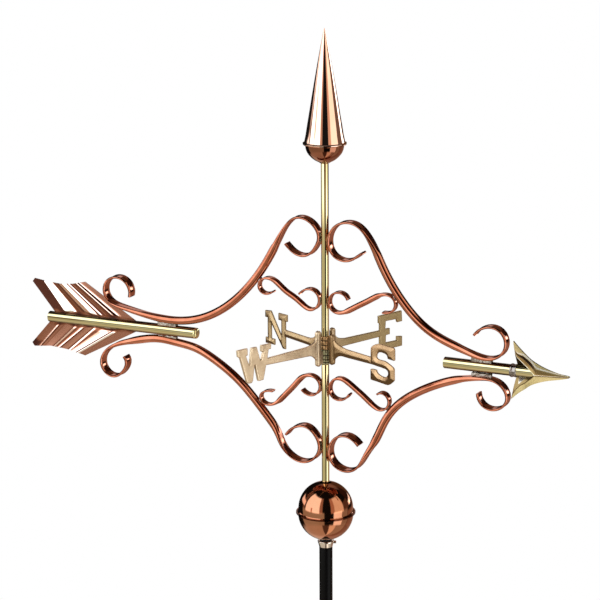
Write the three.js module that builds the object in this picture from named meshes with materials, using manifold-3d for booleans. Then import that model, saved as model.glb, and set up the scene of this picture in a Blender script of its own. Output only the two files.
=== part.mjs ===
// Garden weather vane: an arrow carried by four scrolled copper tubes, turning
// on a fixed rod above a two-part globe and a ground pole.
// Millimetres, +Z up. Origin: centre of the pole's lower end, on the spindle
// axis. The arrow points along +X and lies in the XZ plane.
import * as THREE from 'three';
import { mergeVertices } from 'three/addons/utils/BufferGeometryUtils.js';
import Module from 'manifold-3d';

const wasm = await Module();
wasm.setup();

// ---------------------------------------------------------------- shared dimensions
const ARROW_Z = 460;          // height of the arrow axis above the pole's lower end
const GAP = 0.3;              // clearance between separate solids
const SHEET = 1.2;            // thickness of the globe and feather sheet
const ROD_R = 7.94 / 2;       // fixed rod the vane turns on
const ROD_BORE_R = ROD_R + GAP;
const SPINDLE_OUTER_R = 12.7 / 2;
const SPINDLE_INNER_R = 10.9 / 2;
const ARROW_OUTER_R = 19.05 / 2;
const ARROW_INNER_R = 16.65 / 2;
const ARROW_CLEAR_R = ARROW_OUTER_R + GAP;

// All heights below, and all z values in the tables, are from the arrow axis.
const POLE_BOTTOM_Z = -ARROW_Z;
const POLE_SHOULDER_Z = -347.3;
const HUB_BOTTOM_Z = -26.7;
const HUB_SPLIT_Z = -1;       // middle of the gap between the two castings
const HUB_TOP_Z = 21.5;
const ROD_TOP_Z = 296;

// Compass headings in degrees anticlockwise from +X, seen from above
const EAST = 68.5;
const NORTH = EAST + 90;
const SOUTH = EAST - 90;
const WEST = EAST - 180;

// ---------------------------------------------------------------- materials
const FINISHES = {
  copper: { color: 0xb4603c, metalness: 1, roughness: 0.16 },
  patina: { color: 0x8a5544, metalness: 1, roughness: 0.38 },
  brass: { color: 0xb5a04e, metalness: 1, roughness: 0.2 },
  cast: { color: 0xd8b98a, metalness: 0.9, roughness: 0.45 },
  nickel: { color: 0xc9c4ba, metalness: 1, roughness: 0.2 },
  steel: { color: 0x9a9a98, metalness: 1, roughness: 0.35 },
  solder: { color: 0x8a8078, metalness: 0.9, roughness: 0.55 },
  black: { color: 0x0c0c0d, metalness: 0.1, roughness: 0.35 },
  rubber: { color: 0x0a0a0a, metalness: 0, roughness: 0.8 },
  nylon: { color: 0xe8e4d8, metalness: 0, roughness: 0.6 },
};

const vane = new THREE.Group();
vane.position.z = ARROW_Z;

// shape is a geometry or a Manifold
function add(name, shape, finish) {
  const geometry = shape.isBufferGeometry ? shape : geometryOf(shape);
  const mesh = new THREE.Mesh(geometry, new THREE.MeshStandardMaterial(FINISHES[finish]));
  mesh.name = name;
  vane.add(mesh);
}

// ---------------------------------------------------------------- geometry helpers
// positions only, with coincident vertices joined
function weld(geometry) {
  const loose = geometry.index ? geometry.toNonIndexed() : geometry.clone();
  loose.deleteAttribute('normal');
  loose.deleteAttribute('uv');
  return mergeVertices(loose, 1e-4);
}

function solid(geometry) {
  const welded = weld(geometry);
  return new wasm.Manifold(new wasm.Mesh({
    numProp: 3,
    vertProperties: Float32Array.from(welded.attributes.position.array),
    triVerts: Uint32Array.from(welded.index.array),
  }));
}

function geometryOf(manifold) {
  const mesh = manifold.getMesh();
  const positions = new Float32Array(mesh.numVert * 3);
  for (let i = 0; i < mesh.numVert; i++) {
    for (let k = 0; k < 3; k++) positions[3 * i + k] = mesh.vertProperties[mesh.numProp * i + k];
  }
  const geometry = new THREE.BufferGeometry();
  geometry.setAttribute('position', new THREE.BufferAttribute(positions, 3));
  geometry.setIndex(new THREE.BufferAttribute(Uint32Array.from(mesh.triVerts), 1));
  return geometry;
}

// closed indexed geometry; a negative volume means the faces point inwards, so they are turned
function closed(points, triangles) {
  let volume = 0;
  for (const [a, b, c] of triangles) {
    const [ax, ay, az] = points[a];
    const [bx, by, bz] = points[b];
    const [cx, cy, cz] = points[c];
    volume += ax * (by * cz - bz * cy) - ay * (bx * cz - bz * cx) + az * (bx * cy - by * cx);
  }
  const geometry = new THREE.BufferGeometry();
  geometry.setAttribute('position', new THREE.BufferAttribute(new Float32Array(points.flat()), 3));
  geometry.setIndex(triangles.flatMap(([a, b, c]) => (volume > 0 ? [a, b, c] : [a, c, b])));
  return geometry;
}

// weld, drop collapsed triangles and turn the faces outwards
function orient(geometry) {
  const welded = weld(geometry);
  const positions = welded.attributes.position.array;
  const index = welded.index.array;
  const points = [];
  const triangles = [];
  for (let i = 0; i < positions.length; i += 3) points.push([...positions.slice(i, i + 3)]);
  for (let i = 0; i < index.length; i += 3) {
    const [a, b, c] = index.slice(i, i + 3);
    if (a !== b && b !== c && a !== c) triangles.push([a, b, c]);
  }
  return closed(points, triangles);
}

// solid of revolution about Z from a profile of [radius, z]
function lathe(profile, segments) {
  const points = profile.map(([radius, z]) => new THREE.Vector2(radius, z));
  return orient(new THREE.LatheGeometry(points, segments).rotateX(Math.PI / 2));
}

// the same from a loop that stands clear of the axis
const hollowLathe = (loop, segments) => lathe([...loop, loop[0]], segments);

const ring = (outerR, innerR, z0, z1, segments) =>
  hollowLathe([[innerR, z0], [outerR, z0], [outerR, z1], [innerR, z1]], segments);
const disc = (radius, z0, z1, segments) =>
  lathe([[0, z0], [radius, z0], [radius, z1], [0, z1]], segments);

// turn a Z-axis solid so that its axis lies along +X
const alongX = geometry => geometry.rotateY(Math.PI / 2);

// horizontal cylinder between two distances from the spindle axis
function radialPin(radius, start, end, z, heading, segments = 10) {
  return alongX(disc(radius, start, end, segments))
    .translate(0, 0, z)
    .rotateZ(THREE.MathUtils.degToRad(heading));
}

// flat plate from an outline of [distance from spindle axis, z], standing along a heading
function plate(outline, thickness, heading) {
  const shape = new THREE.Shape(outline.map(([u, z]) => new THREE.Vector2(u, z)));
  const options = { depth: thickness, bevelEnabled: false, curveSegments: 4 };
  return new THREE.ExtrudeGeometry(shape, options)
    .translate(0, 0, -thickness / 2)
    .rotateX(Math.PI / 2)
    .rotateZ(THREE.MathUtils.degToRad(heading));
}

function smooth(x) {
  const t = Math.min(1, Math.max(0, x));
  return t * t * (3 - 2 * t);
}

// rows are [key, values...]; returns the values at a key, extending the end rows' slopes
function interpolate(rows, key) {
  const found = rows.findIndex((row, i) => i > 0 && key <= row[0]);
  const i = found < 0 ? rows.length - 1 : found;
  const [startKey, ...start] = rows[i - 1];
  const [endKey, ...end] = rows[i];
  const share = (key - startKey) / (endKey - startKey);
  return start.map((value, k) => value + (end[k] - value) * share);
}

// ---------------------------------------------------------------- scrolls
// Each scroll is a round tube whose two ends are flattened and rolled into curls.
// Pairs give the values at the start and end of the path: width is the width of the
// flattened end, flat its length, taper the length over which it turns into round tube.
// Paths are [x, z] stations.
const LARGE = { diameter: 14, thickness: 2.2 };
const SMALL = { diameter: 10, thickness: 2, width: [15, 14.5], flat: [60, 50], taper: [35, 25] };
const SCROLLS = {
  scroll_upper_tail: { ...LARGE, width: [21.5, 19.5], flat: [95, 165], taper: [120, 55], path: [
    [-365.4,53.1],[-364.6,61.6],[-366.7,69.9],[-371.4,77.0],[-378.3,82.1],[-386.3,84.7],
    [-394.8,84.5],[-402.0,81.7],[-407.4,77.6],[-411.7,72.4],[-414.4,66.2],[-414.8,59.4],
    [-413.3,52.8],[-410.4,46.6],[-405.7,41.2],[-399.5,37.5],[-392.7,35.0],[-384.5,32.6],
    [-363.9,27.8],[-338.7,23.2],[-313.3,19.7],[-287.7,18.1],[-262.1,19.8],[-237.2,25.5],
    [-213.4,35.0],[-191.0,47.5],[-170.3,62.7],[-151.4,80.0],[-134.3,99.1],[-119.0,119.5],
    [-104.9,140.9],[-92.0,162.9],[-79.4,185.2],[-70.6,199.8],[-66.0,206.6],[-60.9,212.5],
    [-54.4,216.8],[-46.9,218.9],[-39.2,219.2],[-30.7,217.2],[-22.5,212.2],[-16.6,206.5],
    [-12.7,201.4],[-9.8,195.8],[-8.3,189.5],[-9.2,183.2],[-12.4,177.6],[-15.7,172.1],
    [-18.6,166.3],[-23.1,161.0],[-29.2,157.4],[-36.0,155.7],[-43.4,156.0],[-51.6,158.7],
    [-59.8,163.9],[-68.8,172.8],
  ] },
  scroll_upper_head: { ...LARGE, width: [20.5, 20], flat: [165, 95], taper: [50, 90], path: [
    [68.8,169.1],[57.1,160.4],[48.9,156.2],[40.2,154.0],[31.3,154.7],[23.0,158.1],
    [16.2,163.4],[11.5,170.6],[9.4,178.9],[9.8,187.8],[13.0,198.1],[18.8,207.1],
    [26.9,213.9],[36.9,217.7],[47.9,218.2],[58.6,215.2],[67.9,208.9],[76.2,199.5],
    [87.6,180.6],[98.8,157.2],[110.6,134.2],[125.0,112.6],[140.5,91.9],[157.2,72.4],
    [176.6,55.9],[198.7,43.2],[222.4,32.5],[246.8,23.5],[271.5,17.4],[284.5,15.4],
    [293.9,15.4],[303.0,18.0],[310.7,23.3],[316.1,30.2],[319.1,38.1],[319.3,46.5],
    [317.1,54.0],[312.9,60.6],[306.8,65.4],[299.4,67.9],[291.4,68.3],[282.0,66.2],
    [272.9,61.0],[266.0,53.3],
  ] },
  scroll_lower_tail: { ...LARGE, width: [21.5, 20.5], flat: [95, 165], taper: [90, 60], path: [
    [-378.5,-55.3],[-375.3,-60.9],[-374.5,-67.3],[-376.2,-73.5],[-379.5,-79.1],[-383.8,-84.0],
    [-388.7,-88.2],[-394.5,-91.2],[-400.8,-92.4],[-407.2,-91.4],[-413.0,-88.5],[-417.9,-84.3],
    [-421.6,-78.4],[-423.4,-70.8],[-422.8,-62.9],[-419.9,-55.2],[-413.9,-47.7],[-405.8,-41.8],
    [-395.0,-36.3],[-372.6,-28.3],[-347.6,-22.2],[-322.2,-18.0],[-297.0,-17.5],[-272.7,-21.3],
    [-255.8,-22.5],[-240.1,-26.8],[-221.2,-35.4],[-198.1,-47.3],[-176.4,-61.5],[-156.4,-78.0],
    [-137.9,-96.2],[-120.3,-115.4],[-103.5,-135.2],[-92.1,-149.5],[-85.1,-162.7],[-80.8,-173.6],
    [-74.1,-183.2],[-65.2,-190.9],[-55.9,-196.6],[-47.3,-199.9],[-38.3,-200.8],[-29.5,-198.7],
    [-21.6,-194.3],[-15.3,-188.4],[-11.1,-182.2],[-8.8,-175.7],[-8.3,-168.8],[-10.2,-162.2],
    [-13.6,-156.3],[-17.1,-150.9],[-20.9,-145.5],[-25.6,-141.1],[-31.5,-138.6],[-37.9,-137.7],
    [-44.5,-138.3],[-52.4,-140.8],[-61.9,-147.0],[-69.7,-156.1],
  ] },
  scroll_lower_head: { ...LARGE, width: [23.5, 20.5], flat: [150, 110], taper: [60, 80], path: [
    [62.9,-158.9],[55.2,-151.7],[48.7,-147.7],[41.5,-145.4],[33.9,-145.5],[26.7,-148.0],
    [20.0,-152.7],[13.9,-160.4],[10.4,-170.4],[10.0,-180.2],[12.3,-188.9],[17.2,-196.5],
    [24.2,-202.1],[33.0,-205.6],[43.4,-206.1],[53.4,-203.2],[61.7,-197.5],[67.5,-189.5],
    [71.6,-180.3],[78.5,-169.1],[89.3,-151.7],[100.2,-128.6],[112.0,-106.0],[127.4,-85.7],
    [146.5,-68.8],[168.1,-55.1],[190.8,-43.5],[214.3,-33.2],[238.6,-25.3],[263.8,-21.2],
    [279.7,-19.1],[289.6,-17.9],[299.4,-19.3],[308.4,-23.7],[315.8,-30.1],[319.8,-35.6],
    [322.4,-41.5],[323.4,-47.7],[322.0,-53.9],[318.1,-59.0],[313.1,-62.9],[307.6,-66.2],
    [300.1,-68.3],[292.3,-67.8],[284.9,-64.8],[278.7,-59.6],[274.5,-52.7],[272.9,-44.7],
  ] },
  small_scroll_upper_tail: { ...SMALL, path: [
    [-45.1,89.8],[-41.3,93.8],[-34.9,97.4],[-28.5,99.2],[-23.3,99.2],[-18.7,97.8],
    [-14.6,94.8],[-11.3,90.2],[-9.5,84.8],[-9.4,79.2],[-11.3,73.9],[-14.9,68.9],
    [-18.7,65.9],[-22.6,64.2],[-27.0,64.1],[-31.2,65.4],[-35.7,68.1],[-47.1,76.3],
    [-64.6,86.6],[-84.7,102.0],[-95.9,108.5],[-102.0,110.3],[-107.3,110.3],[-112.2,108.6],
    [-116.0,105.9],[-118.7,102.4],[-120.0,98.3],[-119.8,93.9],[-118.2,89.8],[-115.1,86.6],
    [-111.2,84.6],[-106.8,83.8],[-101.7,84.3],[-97.6,85.7],[-94.0,88.2],
  ] },
  small_scroll_upper_head: { ...SMALL, path: [
    [42.1,88.1],[39.9,92.5],[36.2,95.8],[31.6,97.9],[25.7,98.6],[20.3,97.5],
    [15.4,94.9],[11.8,90.7],[9.2,85.0],[8.7,79.4],[9.7,74.5],[12.3,70.1],
    [16.3,66.6],[21.2,64.3],[26.0,63.6],[31.0,64.5],[37.5,67.1],[59.1,78.5],
    [81.5,91.7],[101.1,101.0],[109.0,103.0],[113.9,103.1],[118.2,102.1],[122.0,99.5],
    [124.7,96.0],[126.5,91.1],[126.9,86.5],[125.8,82.2],[123.3,78.6],[119.8,75.8],
    [114.7,73.6],[109.7,72.6],[105.2,72.8],
  ] },
  small_scroll_lower_tail: { ...SMALL, path: [
    [-41.0,-75.3],[-36.9,-78.9],[-31.1,-81.7],[-25.2,-82.7],[-20.4,-82.2],[-16.1,-80.2],
    [-12.6,-77.0],[-9.8,-72.2],[-8.5,-66.5],[-8.6,-61.9],[-10.1,-57.7],[-12.9,-54.3],
    [-16.8,-51.6],[-22.7,-49.6],[-30.0,-49.3],[-36.8,-51.3],[-43.4,-55.7],[-55.7,-68.7],
    [-72.9,-87.7],[-88.6,-102.7],[-95.8,-107.2],[-101.1,-109.0],[-106.2,-109.0],[-111.1,-107.4],
    [-115.1,-104.6],[-118.0,-101.2],[-119.4,-97.0],[-118.2,-92.8],[-115.1,-89.5],[-111.3,-87.1],
    [-105.2,-84.9],[-100.7,-84.2],[-96.3,-84.6],
  ] },
  small_scroll_lower_head: { ...SMALL, path: [
    [45.1,-73.6],[42.0,-78.0],[37.4,-81.6],[30.5,-84.4],[24.8,-85.0],[20.3,-84.2],
    [16.4,-82.3],[13.2,-79.1],[10.7,-74.8],[9.4,-68.5],[9.7,-62.5],[11.8,-57.3],
    [15.5,-53.0],[20.3,-49.8],[24.8,-48.4],[29.2,-48.4],[33.5,-49.7],[38.9,-52.6],
    [57.0,-65.2],[75.8,-79.2],[90.3,-89.9],[94.5,-92.5],[98.4,-93.9],[102.6,-94.0],
    [107.0,-92.8],[111.1,-90.0],[114.1,-86.1],[115.8,-81.2],[116.0,-76.4],[114.6,-71.9],
    [111.8,-68.2],[108.2,-65.6],[104.0,-64.3],[99.7,-64.5],[96.0,-66.7],
  ] },
};
const SCROLL_SIDES = 8;
const SCROLL_CUTTER = { sides: 10, margin: 0.45 };

// margin grows the tube all round and past both ends
function scroll({ path, diameter, thickness, width, flat, taper }, sides, margin = 0) {
  const last = path.length - 1;
  const arc = [0];
  for (let i = 1; i <= last; i++) {
    arc.push(arc[i - 1] + Math.hypot(path[i][0] - path[i - 1][0], path[i][1] - path[i - 1][1]));
  }
  const length = arc[last];
  const points = [];
  const triangles = [];
  path.forEach(([x, z], i) => {
    const before = path[Math.max(0, i - 1)];
    const after = path[Math.min(last, i + 1)];
    let tangentX = after[0] - before[0];
    let tangentZ = after[1] - before[1];
    const span = Math.hypot(tangentX, tangentZ);
    tangentX /= span;
    tangentZ /= span;

    // 0 on the flattened ends, 1 on the round tube
    const roundness = Math.min(
      smooth((arc[i] - flat[0]) / taper[0]), smooth((length - arc[i] - flat[1]) / taper[1]));
    const endWidth = arc[i] < length / 2 ? width[0] : width[1];
    const halfWidth = (endWidth + (diameter - endWidth) * roundness) / 2 + margin;
    const halfThickness = (thickness + (diameter - thickness) * roundness) / 2 + margin;
    // superellipse: a circle when round, nearer a rectangle when flat
    const exponent = 2 / (2 + 2.5 * (1 - roundness));
    const bend = value => Math.sign(value) * Math.abs(value) ** exponent;
    const overrun = i === 0 ? -margin : i === last ? margin : 0;
    for (let j = 0; j < sides; j++) {
      const angle = (2 * Math.PI * (j + 0.5)) / sides;
      const across = bend(Math.cos(angle)) * halfWidth;
      const out = bend(Math.sin(angle)) * halfThickness;
      points.push([
        x - tangentZ * out + tangentX * overrun, across, z + tangentX * out + tangentZ * overrun]);
    }
  });
  for (let i = 0; i < last; i++) {
    for (let j = 0; j < sides; j++) {
      const a = i * sides + j;
      const b = i * sides + (j + 1) % sides;
      triangles.push([a, b, b + sides], [a, b + sides, a + sides]);
    }
  }
  const end = last * sides;
  for (let j = 1; j + 1 < sides; j++) {
    triangles.push([0, j + 1, j], [end, end + j, end + j + 1]);
  }
  return closed(points, triangles);
}

// enlarged scrolls, cut out of whatever touches them
const scrollCutters = {};
for (const [name, spec] of Object.entries(SCROLLS)) {
  add(name, scroll(spec, SCROLL_SIDES), 'copper');
  scrollCutters[name] = solid(scroll(spec, SCROLL_CUTTER.sides, SCROLL_CUTTER.margin));
}

// ---------------------------------------------------------------- pole and collar
const POLE_R = 22.4 / 2;
const SPIGOT_R = 8;
const SPIGOT_TOP_Z = -338.5;
const COLLAR_BORE_R = 8.35;
const COLLAR_BOTTOM_Z = POLE_SHOULDER_Z + GAP;
const COLLAR_TOP_Z = -336.2;
const COLLAR_SCREW = { z: -339.6, heading: 22, radius: 2.5, holeR: 2.9, end: 17.4 };

const pole = lathe([
  [0, POLE_BOTTOM_Z], [POLE_R, POLE_BOTTOM_Z], [POLE_R, POLE_SHOULDER_Z],
  [SPIGOT_R, POLE_SHOULDER_Z], [SPIGOT_R, SPIGOT_TOP_Z], [0, SPIGOT_TOP_Z],
], 20);
add('mounting_pole', solid(pole).subtract(solid(disc(ROD_BORE_R, -400, -330, 16))), 'black');

const collar = hollowLathe([
  [COLLAR_BORE_R, COLLAR_BOTTOM_Z], [11.5, COLLAR_BOTTOM_Z], [13.2, -341], [14, -338],
  [14, COLLAR_TOP_Z], [COLLAR_BORE_R, COLLAR_TOP_Z],
], 20);
{
  const { z, heading, radius, holeR, end } = COLLAR_SCREW;
  const hole = radialPin(holeR, 6, 20, z, heading);
  const screw = radialPin(radius, COLLAR_BORE_R, end, z, heading);
  const socket = radialPin(1.1, 15, 20, z, heading, 6);
  add('pole_collar', solid(collar).subtract(solid(hole)), 'nickel');
  add('collar_set_screw', solid(screw).subtract(solid(socket)), 'steel');
}
add('globe_washer', ring(10.2, ROD_BORE_R, COLLAR_TOP_Z + GAP, -333.75, 20), 'rubber');

// ---------------------------------------------------------------- globe
const GLOBE_RIM_R = 50.2;
const LOWER_RIM_TOP_Z = -285.7;
const LOWER_RIM_BOTTOM_Z = LOWER_RIM_TOP_Z - SHEET;
const UPPER_RIM_BOTTOM_Z = LOWER_RIM_TOP_Z + GAP;
const GLOBE_ARC_STEPS = 7;

// side is +1 for the upper half and -1 for the lower; opening is the hole's radius at the pole
function globeHalf(radius, centreZ, opening, rimMeetingZ, side) {
  const wall = wallR => Array.from({ length: GLOBE_ARC_STEPS + 1 }, (_, i) => {
    const start = Math.asin(opening / wallR);
    const angle = start + ((Math.PI / 2 - start) * i) / GLOBE_ARC_STEPS;
    return [wallR * Math.sin(angle), centreZ + side * wallR * Math.cos(angle)];
  });
  const rimFarZ = rimMeetingZ + side * SHEET;
  return hollowLathe([
    ...wall(radius), [radius, rimFarZ], [GLOBE_RIM_R, rimFarZ], [GLOBE_RIM_R, rimMeetingZ],
    [radius - SHEET, rimMeetingZ], ...wall(radius - SHEET).reverse(),
  ], 20);
}
add('globe_upper_half', globeHalf(46.2, -278.5, 10, UPPER_RIM_BOTTOM_Z, 1), 'copper');
add('globe_lower_half',
  globeHalf(46.8, LOWER_RIM_BOTTOM_Z, ROD_BORE_R, LOWER_RIM_TOP_Z, -1), 'copper');

// ---------------------------------------------------------------- rod, ball and bushes
const BALL_R = 3.9;
const BALL_LIFT = 0.2;        // clearance between rod and ball
const PLUG_R = SPINDLE_INNER_R - GAP;
const BUSH = { outerR: SPINDLE_INNER_R - 0.35, boreR: 4.42, length: 12 };

add('spindle_rod', disc(ROD_R, -398, ROD_TOP_Z, 16), 'steel');
const ball = new THREE.SphereGeometry(BALL_R, 10, 8)
  .rotateX(Math.PI / 2)
  .translate(0, 0, ROD_TOP_Z + BALL_R + BALL_LIFT);
add('bearing_ball', orient(ball), 'steel');
// hollowed underneath, over the ball
add('spindle_top_plug', lathe([
  [0, 306], [1.6, 305.2], [3.4, 303.2], [PLUG_R, 303.2], [PLUG_R, 316], [0, 316],
], 16), 'brass');

for (const [place, bottomZ] of [
  ['upper_tube_top', 280], ['upper_tube_bottom', 23],
  ['lower_tube_top', -42], ['lower_tube_bottom', -235],
]) {
  const bush = ring(BUSH.outerR, BUSH.boreR, bottomZ, bottomZ + BUSH.length, 16);
  add(`bush_${place}`, bush, 'nylon');
}

// ---------------------------------------------------------------- spindle tubes
const HUB_GAP = 0.5;          // between each tube and the hub
for (const [level, z0, z1] of [
  ['upper', HUB_TOP_Z + HUB_GAP, 326],
  ['lower', -236.5, HUB_BOTTOM_Z - HUB_GAP],
]) {
  add(`${level}_spindle_tube`, ring(SPINDLE_OUTER_R, SPINDLE_INNER_R, z0, z1, 16), 'brass');
}

// ---------------------------------------------------------------- finial
// profiles of [radius, z]
const FINIAL_BORE_R = SPINDLE_OUTER_R + GAP;
const FINIAL_CONE = [
  // outside, upwards
  [36, 345.4], [36, 346.6], [33.1, 349], [29, 372.9], [24.6, 399.2], [15.9, 451.4],
  [9.1, 490.4], [3.8, 516.3], [1, 533],
  // tip and inside, downwards
  [0, 533], [0, 520], [7.6, 490], [23.2, 399.2], [31.6, 349], [32, 345.4],
];
const FINIAL_BOWL = [
  // underside, outwards
  [FINIAL_BORE_R, 312.4], [9.9, 314.4], [18.2, 319], [23.8, 324], [29, 331.5],
  [31.9, 343.4], [35.6, 343.9],
  // upper side, inwards
  [35.6, 345.1], [31.1, 344.9], [28, 333], [22.9, 325.2], [17.6, 320.4], [9.6, 315.8],
  [FINIAL_BORE_R, 313.9],
];
add('finial_cone', hollowLathe(FINIAL_CONE, 20), 'copper');
add('finial_bowl', hollowLathe(FINIAL_BOWL, 20), 'copper');

// ---------------------------------------------------------------- arrow tubes
const TAIL_TUBE = { rearX: -528.8, frontX: -243.2 };
const HEAD_TUBE = { rearX: 213.2, frontX: 364 };
const CAP_R = ARROW_OUTER_R - 0.1;
const CAP_PLUG_R = ARROW_INNER_R - GAP;
const CAP_PROFILE = [         // [radius, distance ahead of the tube's end]
  [0, -12], [CAP_PLUG_R, -12], [CAP_PLUG_R, GAP], [CAP_R, GAP], [CAP_R, 2.4],
  [CAP_R - 1.1, 4.1], [CAP_R - 3.2, 5.2], [0, 5.6],
];
const arrowTube = ({ rearX, frontX }) =>
  alongX(ring(ARROW_OUTER_R, ARROW_INNER_R, rearX, frontX, 20));

add('tail_tube', arrowTube(TAIL_TUBE), 'brass');
add('tail_tube_cap', alongX(lathe(CAP_PROFILE, 20)).translate(TAIL_TUBE.frontX, 0, 0), 'brass');
add('head_tube', arrowTube(HEAD_TUBE), 'brass');

// ---------------------------------------------------------------- tail feathers
// A feather is thin sheet with ribs, raised towards -Y, that fan out from the tube.
// s runs from the rear edge to the front edge, t from the tube to the outer edge.
const RIB = { halfWidth: 0.035, height: 2.4, fadeStart: 0.1, fadeLength: 0.2 }; // widths in s
const FEATHER_T = [0, 0.14, 0.3, 1];
// root: x of the rear and front corners at the tube; edge: rows of [s, x, z]; ribs: s values
const FEATHERS = {
  upper: {
    side: 1,
    root: [-518.5, -357.5],
    edge: [
      [0, -561.4, 60.2], [0.04, -556.9, 66.4], [0.2, -537.1, 63.8], [0.45, -506, 61.1],
      [0.7, -482.1, 62.9], [0.86, -468, 66], [1, -456, 69.1],
    ],
    ribs: [0.17, 0.36, 0.52, 0.68, 0.83],
  },
  lower: {
    side: -1,
    root: [-529.5, -357.5],
    edge: [
      [0, -566.3, -50.9], [0.04, -561.7, -57.2], [0.35, -524.3, -52.8],
      [0.7, -486.2, -56.8], [1, -459.7, -63.5],
    ],
    ribs: [0.16, 0.35, 0.52, 0.68, 0.83],
  },
};

function ribHeight(ribs, s, t) {
  const crest = Math.max(0, ...ribs.map(rib => 1 - Math.abs(s - rib) / RIB.halfWidth));
  return crest * RIB.height * smooth((t - RIB.fadeStart) / RIB.fadeLength);
}

function feather({ side, root, edge, ribs }) {
  const ribStations = ribs.flatMap(rib => [rib - RIB.halfWidth, rib, rib + RIB.halfWidth]);
  const stations = [...new Set([0, ...edge.map(row => row[0]), ...ribStations, 1])]
    .filter(s => s >= 0 && s <= 1)
    .sort((a, b) => a - b);
  const points = [];
  const triangles = [];
  const rootZ = ARROW_CLEAR_R * side;
  for (const face of [1, -1]) {
    for (const s of stations) {
      const rootX = root[0] + (root[1] - root[0]) * s;
      const [edgeX, edgeZ] = interpolate(edge, s);
      for (const t of FEATHER_T) {
        points.push([
          rootX + (edgeX - rootX) * t,
          -ribHeight(ribs, s, t) + (face * SHEET) / 2,
          rootZ + (edgeZ - rootZ) * t,
        ]);
      }
    }
  }
  const rows = stations.length;
  const columns = FEATHER_T.length;
  const at = (face, i, j) => (face * rows + i) * columns + j;
  for (let i = 0; i + 1 < rows; i++) {
    for (let j = 0; j + 1 < columns; j++) {
      triangles.push(
        [at(0, i, j), at(0, i + 1, j), at(0, i + 1, j + 1)],
        [at(0, i, j), at(0, i + 1, j + 1), at(0, i, j + 1)],
        [at(1, i, j), at(1, i + 1, j + 1), at(1, i + 1, j)],
        [at(1, i, j), at(1, i, j + 1), at(1, i + 1, j + 1)],
      );
    }
  }
  // wall around the border, joining the two faces
  const border = [];
  for (let i = 0; i < rows; i++) border.push([i, 0]);
  for (let j = 1; j < columns; j++) border.push([rows - 1, j]);
  for (let i = rows - 2; i >= 0; i--) border.push([i, columns - 1]);
  for (let j = columns - 2; j > 0; j--) border.push([0, j]);
  border.forEach((here, k) => {
    const next = border[(k + 1) % border.length];
    triangles.push(
      [at(0, ...here), at(1, ...next), at(0, ...next)],
      [at(0, ...here), at(1, ...here), at(1, ...next)],
    );
  });
  return closed(points, triangles);
}
for (const [level, spec] of Object.entries(FEATHERS)) {
  const sheet = solid(feather(spec)).subtract(scrollCutters[`scroll_${level}_tail`]);
  add(`tail_feather_${level}`, sheet, 'patina');
}

// ---------------------------------------------------------------- arrowhead
// Two creased plates that meet along their outer edges. The front one (-Y) is cut
// back to a deep swallow tail, the back one (+Y) is nearly square at the rear, and
// the head tube ends between them. Outlines are [x, z].
const EDGE_TOP = [
  [330.8, 48.7], [340.2, 39], [351.1, 28.9], [359.6, 21.7], [368.4, 16.4],
  [379.7, 11], [394, 5.9], [408.3, 2.2], [424.5, 0.5],
];
const EDGE_BOTTOM = [
  [328.3, -48.2], [337.7, -39.4], [344.8, -33.6], [352, -28.5], [359, -22.9],
  [369.6, -17.3], [387.2, -11.2], [401.3, -8.2], [415, -5.3], [424.5, -2.5],
];
// creaseX: rear end of the crease; topRear and bottomRear: cut from outer edge to crease
const FRONT_PLATE = {
  side: -1, creaseX: 371, creaseSteps: 3,
  topRear: [[331.5, 44.1], [336.8, 27.5], [344, 19.8], [355.7, 10.5]],
  bottomRear: [[332, -37.7], [344.7, -22], [353.3, -16.8], [359.4, -11.3]],
};
const BACK_PLATE = {
  side: 1, creaseX: 335.3, creaseSteps: 4,
  topRear: [[330.3, 27.6], [334.3, 10.4]],
  bottomRear: [[329.3, -31.7], [333.8, -12]],
};
const HEAD_SHEET = 1.1;
const TIP_X = 426.6;
const CREASE_Z = -1;
const CREASE_OVERLAP = 0.15;  // of the two wings across the crease before they are joined
const CREASE_TAPER_X = 371;   // ahead of this the crease comes down towards the tip
const CREASE_Y = 12.6;        // distance of the sheet's middle from the XZ plane
const TIP_Y = 1.2;
const EDGE_Y = 0.95;

function creaseY(x) {
  if (x < CREASE_TAPER_X) return CREASE_Y;
  return CREASE_Y + ((x - CREASE_TAPER_X) / (TIP_X - CREASE_TAPER_X)) * (TIP_Y - CREASE_Y);
}

function bulge(x, z) {
  const [edgeZ] = interpolate(z > CREASE_Z ? EDGE_TOP : EDGE_BOTTOM, x);
  const toEdge = Math.min(1, Math.abs(z - CREASE_Z) / Math.abs(edgeZ - CREASE_Z));
  return EDGE_Y + (creaseY(x) - EDGE_Y) * (1 - toEdge);
}

// sheet that follows the bulge on one side of the XZ plane
function bulgedSheet(outline, side) {
  const { area, triangulateShape } = THREE.ShapeUtils;
  const toVectors = pairs => pairs.map(([x, z]) => new THREE.Vector2(x, z));
  const border = area(toVectors(outline)) > 0 ? outline : [...outline].reverse();
  const contour = toVectors(border);
  const count = border.length;
  const points = [];
  const triangles = [];
  for (const face of [-1, 1]) {
    for (const [x, z] of border) {
      points.push([x, side * bulge(x, z) + (face * HEAD_SHEET) / 2, z]);
    }
  }
  for (const corners of triangulateShape(contour, [])) {
    const [a, b, c] = corners;
    const [p, q, r] = area(corners.map(i => contour[i])) > 0 ? [a, b, c] : [a, c, b];
    triangles.push([p, q, r], [count + p, count + r, count + q]);
  }
  for (let i = 0; i < count; i++) {
    const j = (i + 1) % count;
    triangles.push([j, i, count + i], [j, count + i, count + j]);
  }
  return closed(points, triangles);
}

const headTubeClearance = solid(
  alongX(disc(ARROW_OUTER_R + 0.35, 200, HEAD_TUBE.frontX + 0.4, 24)));

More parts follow.
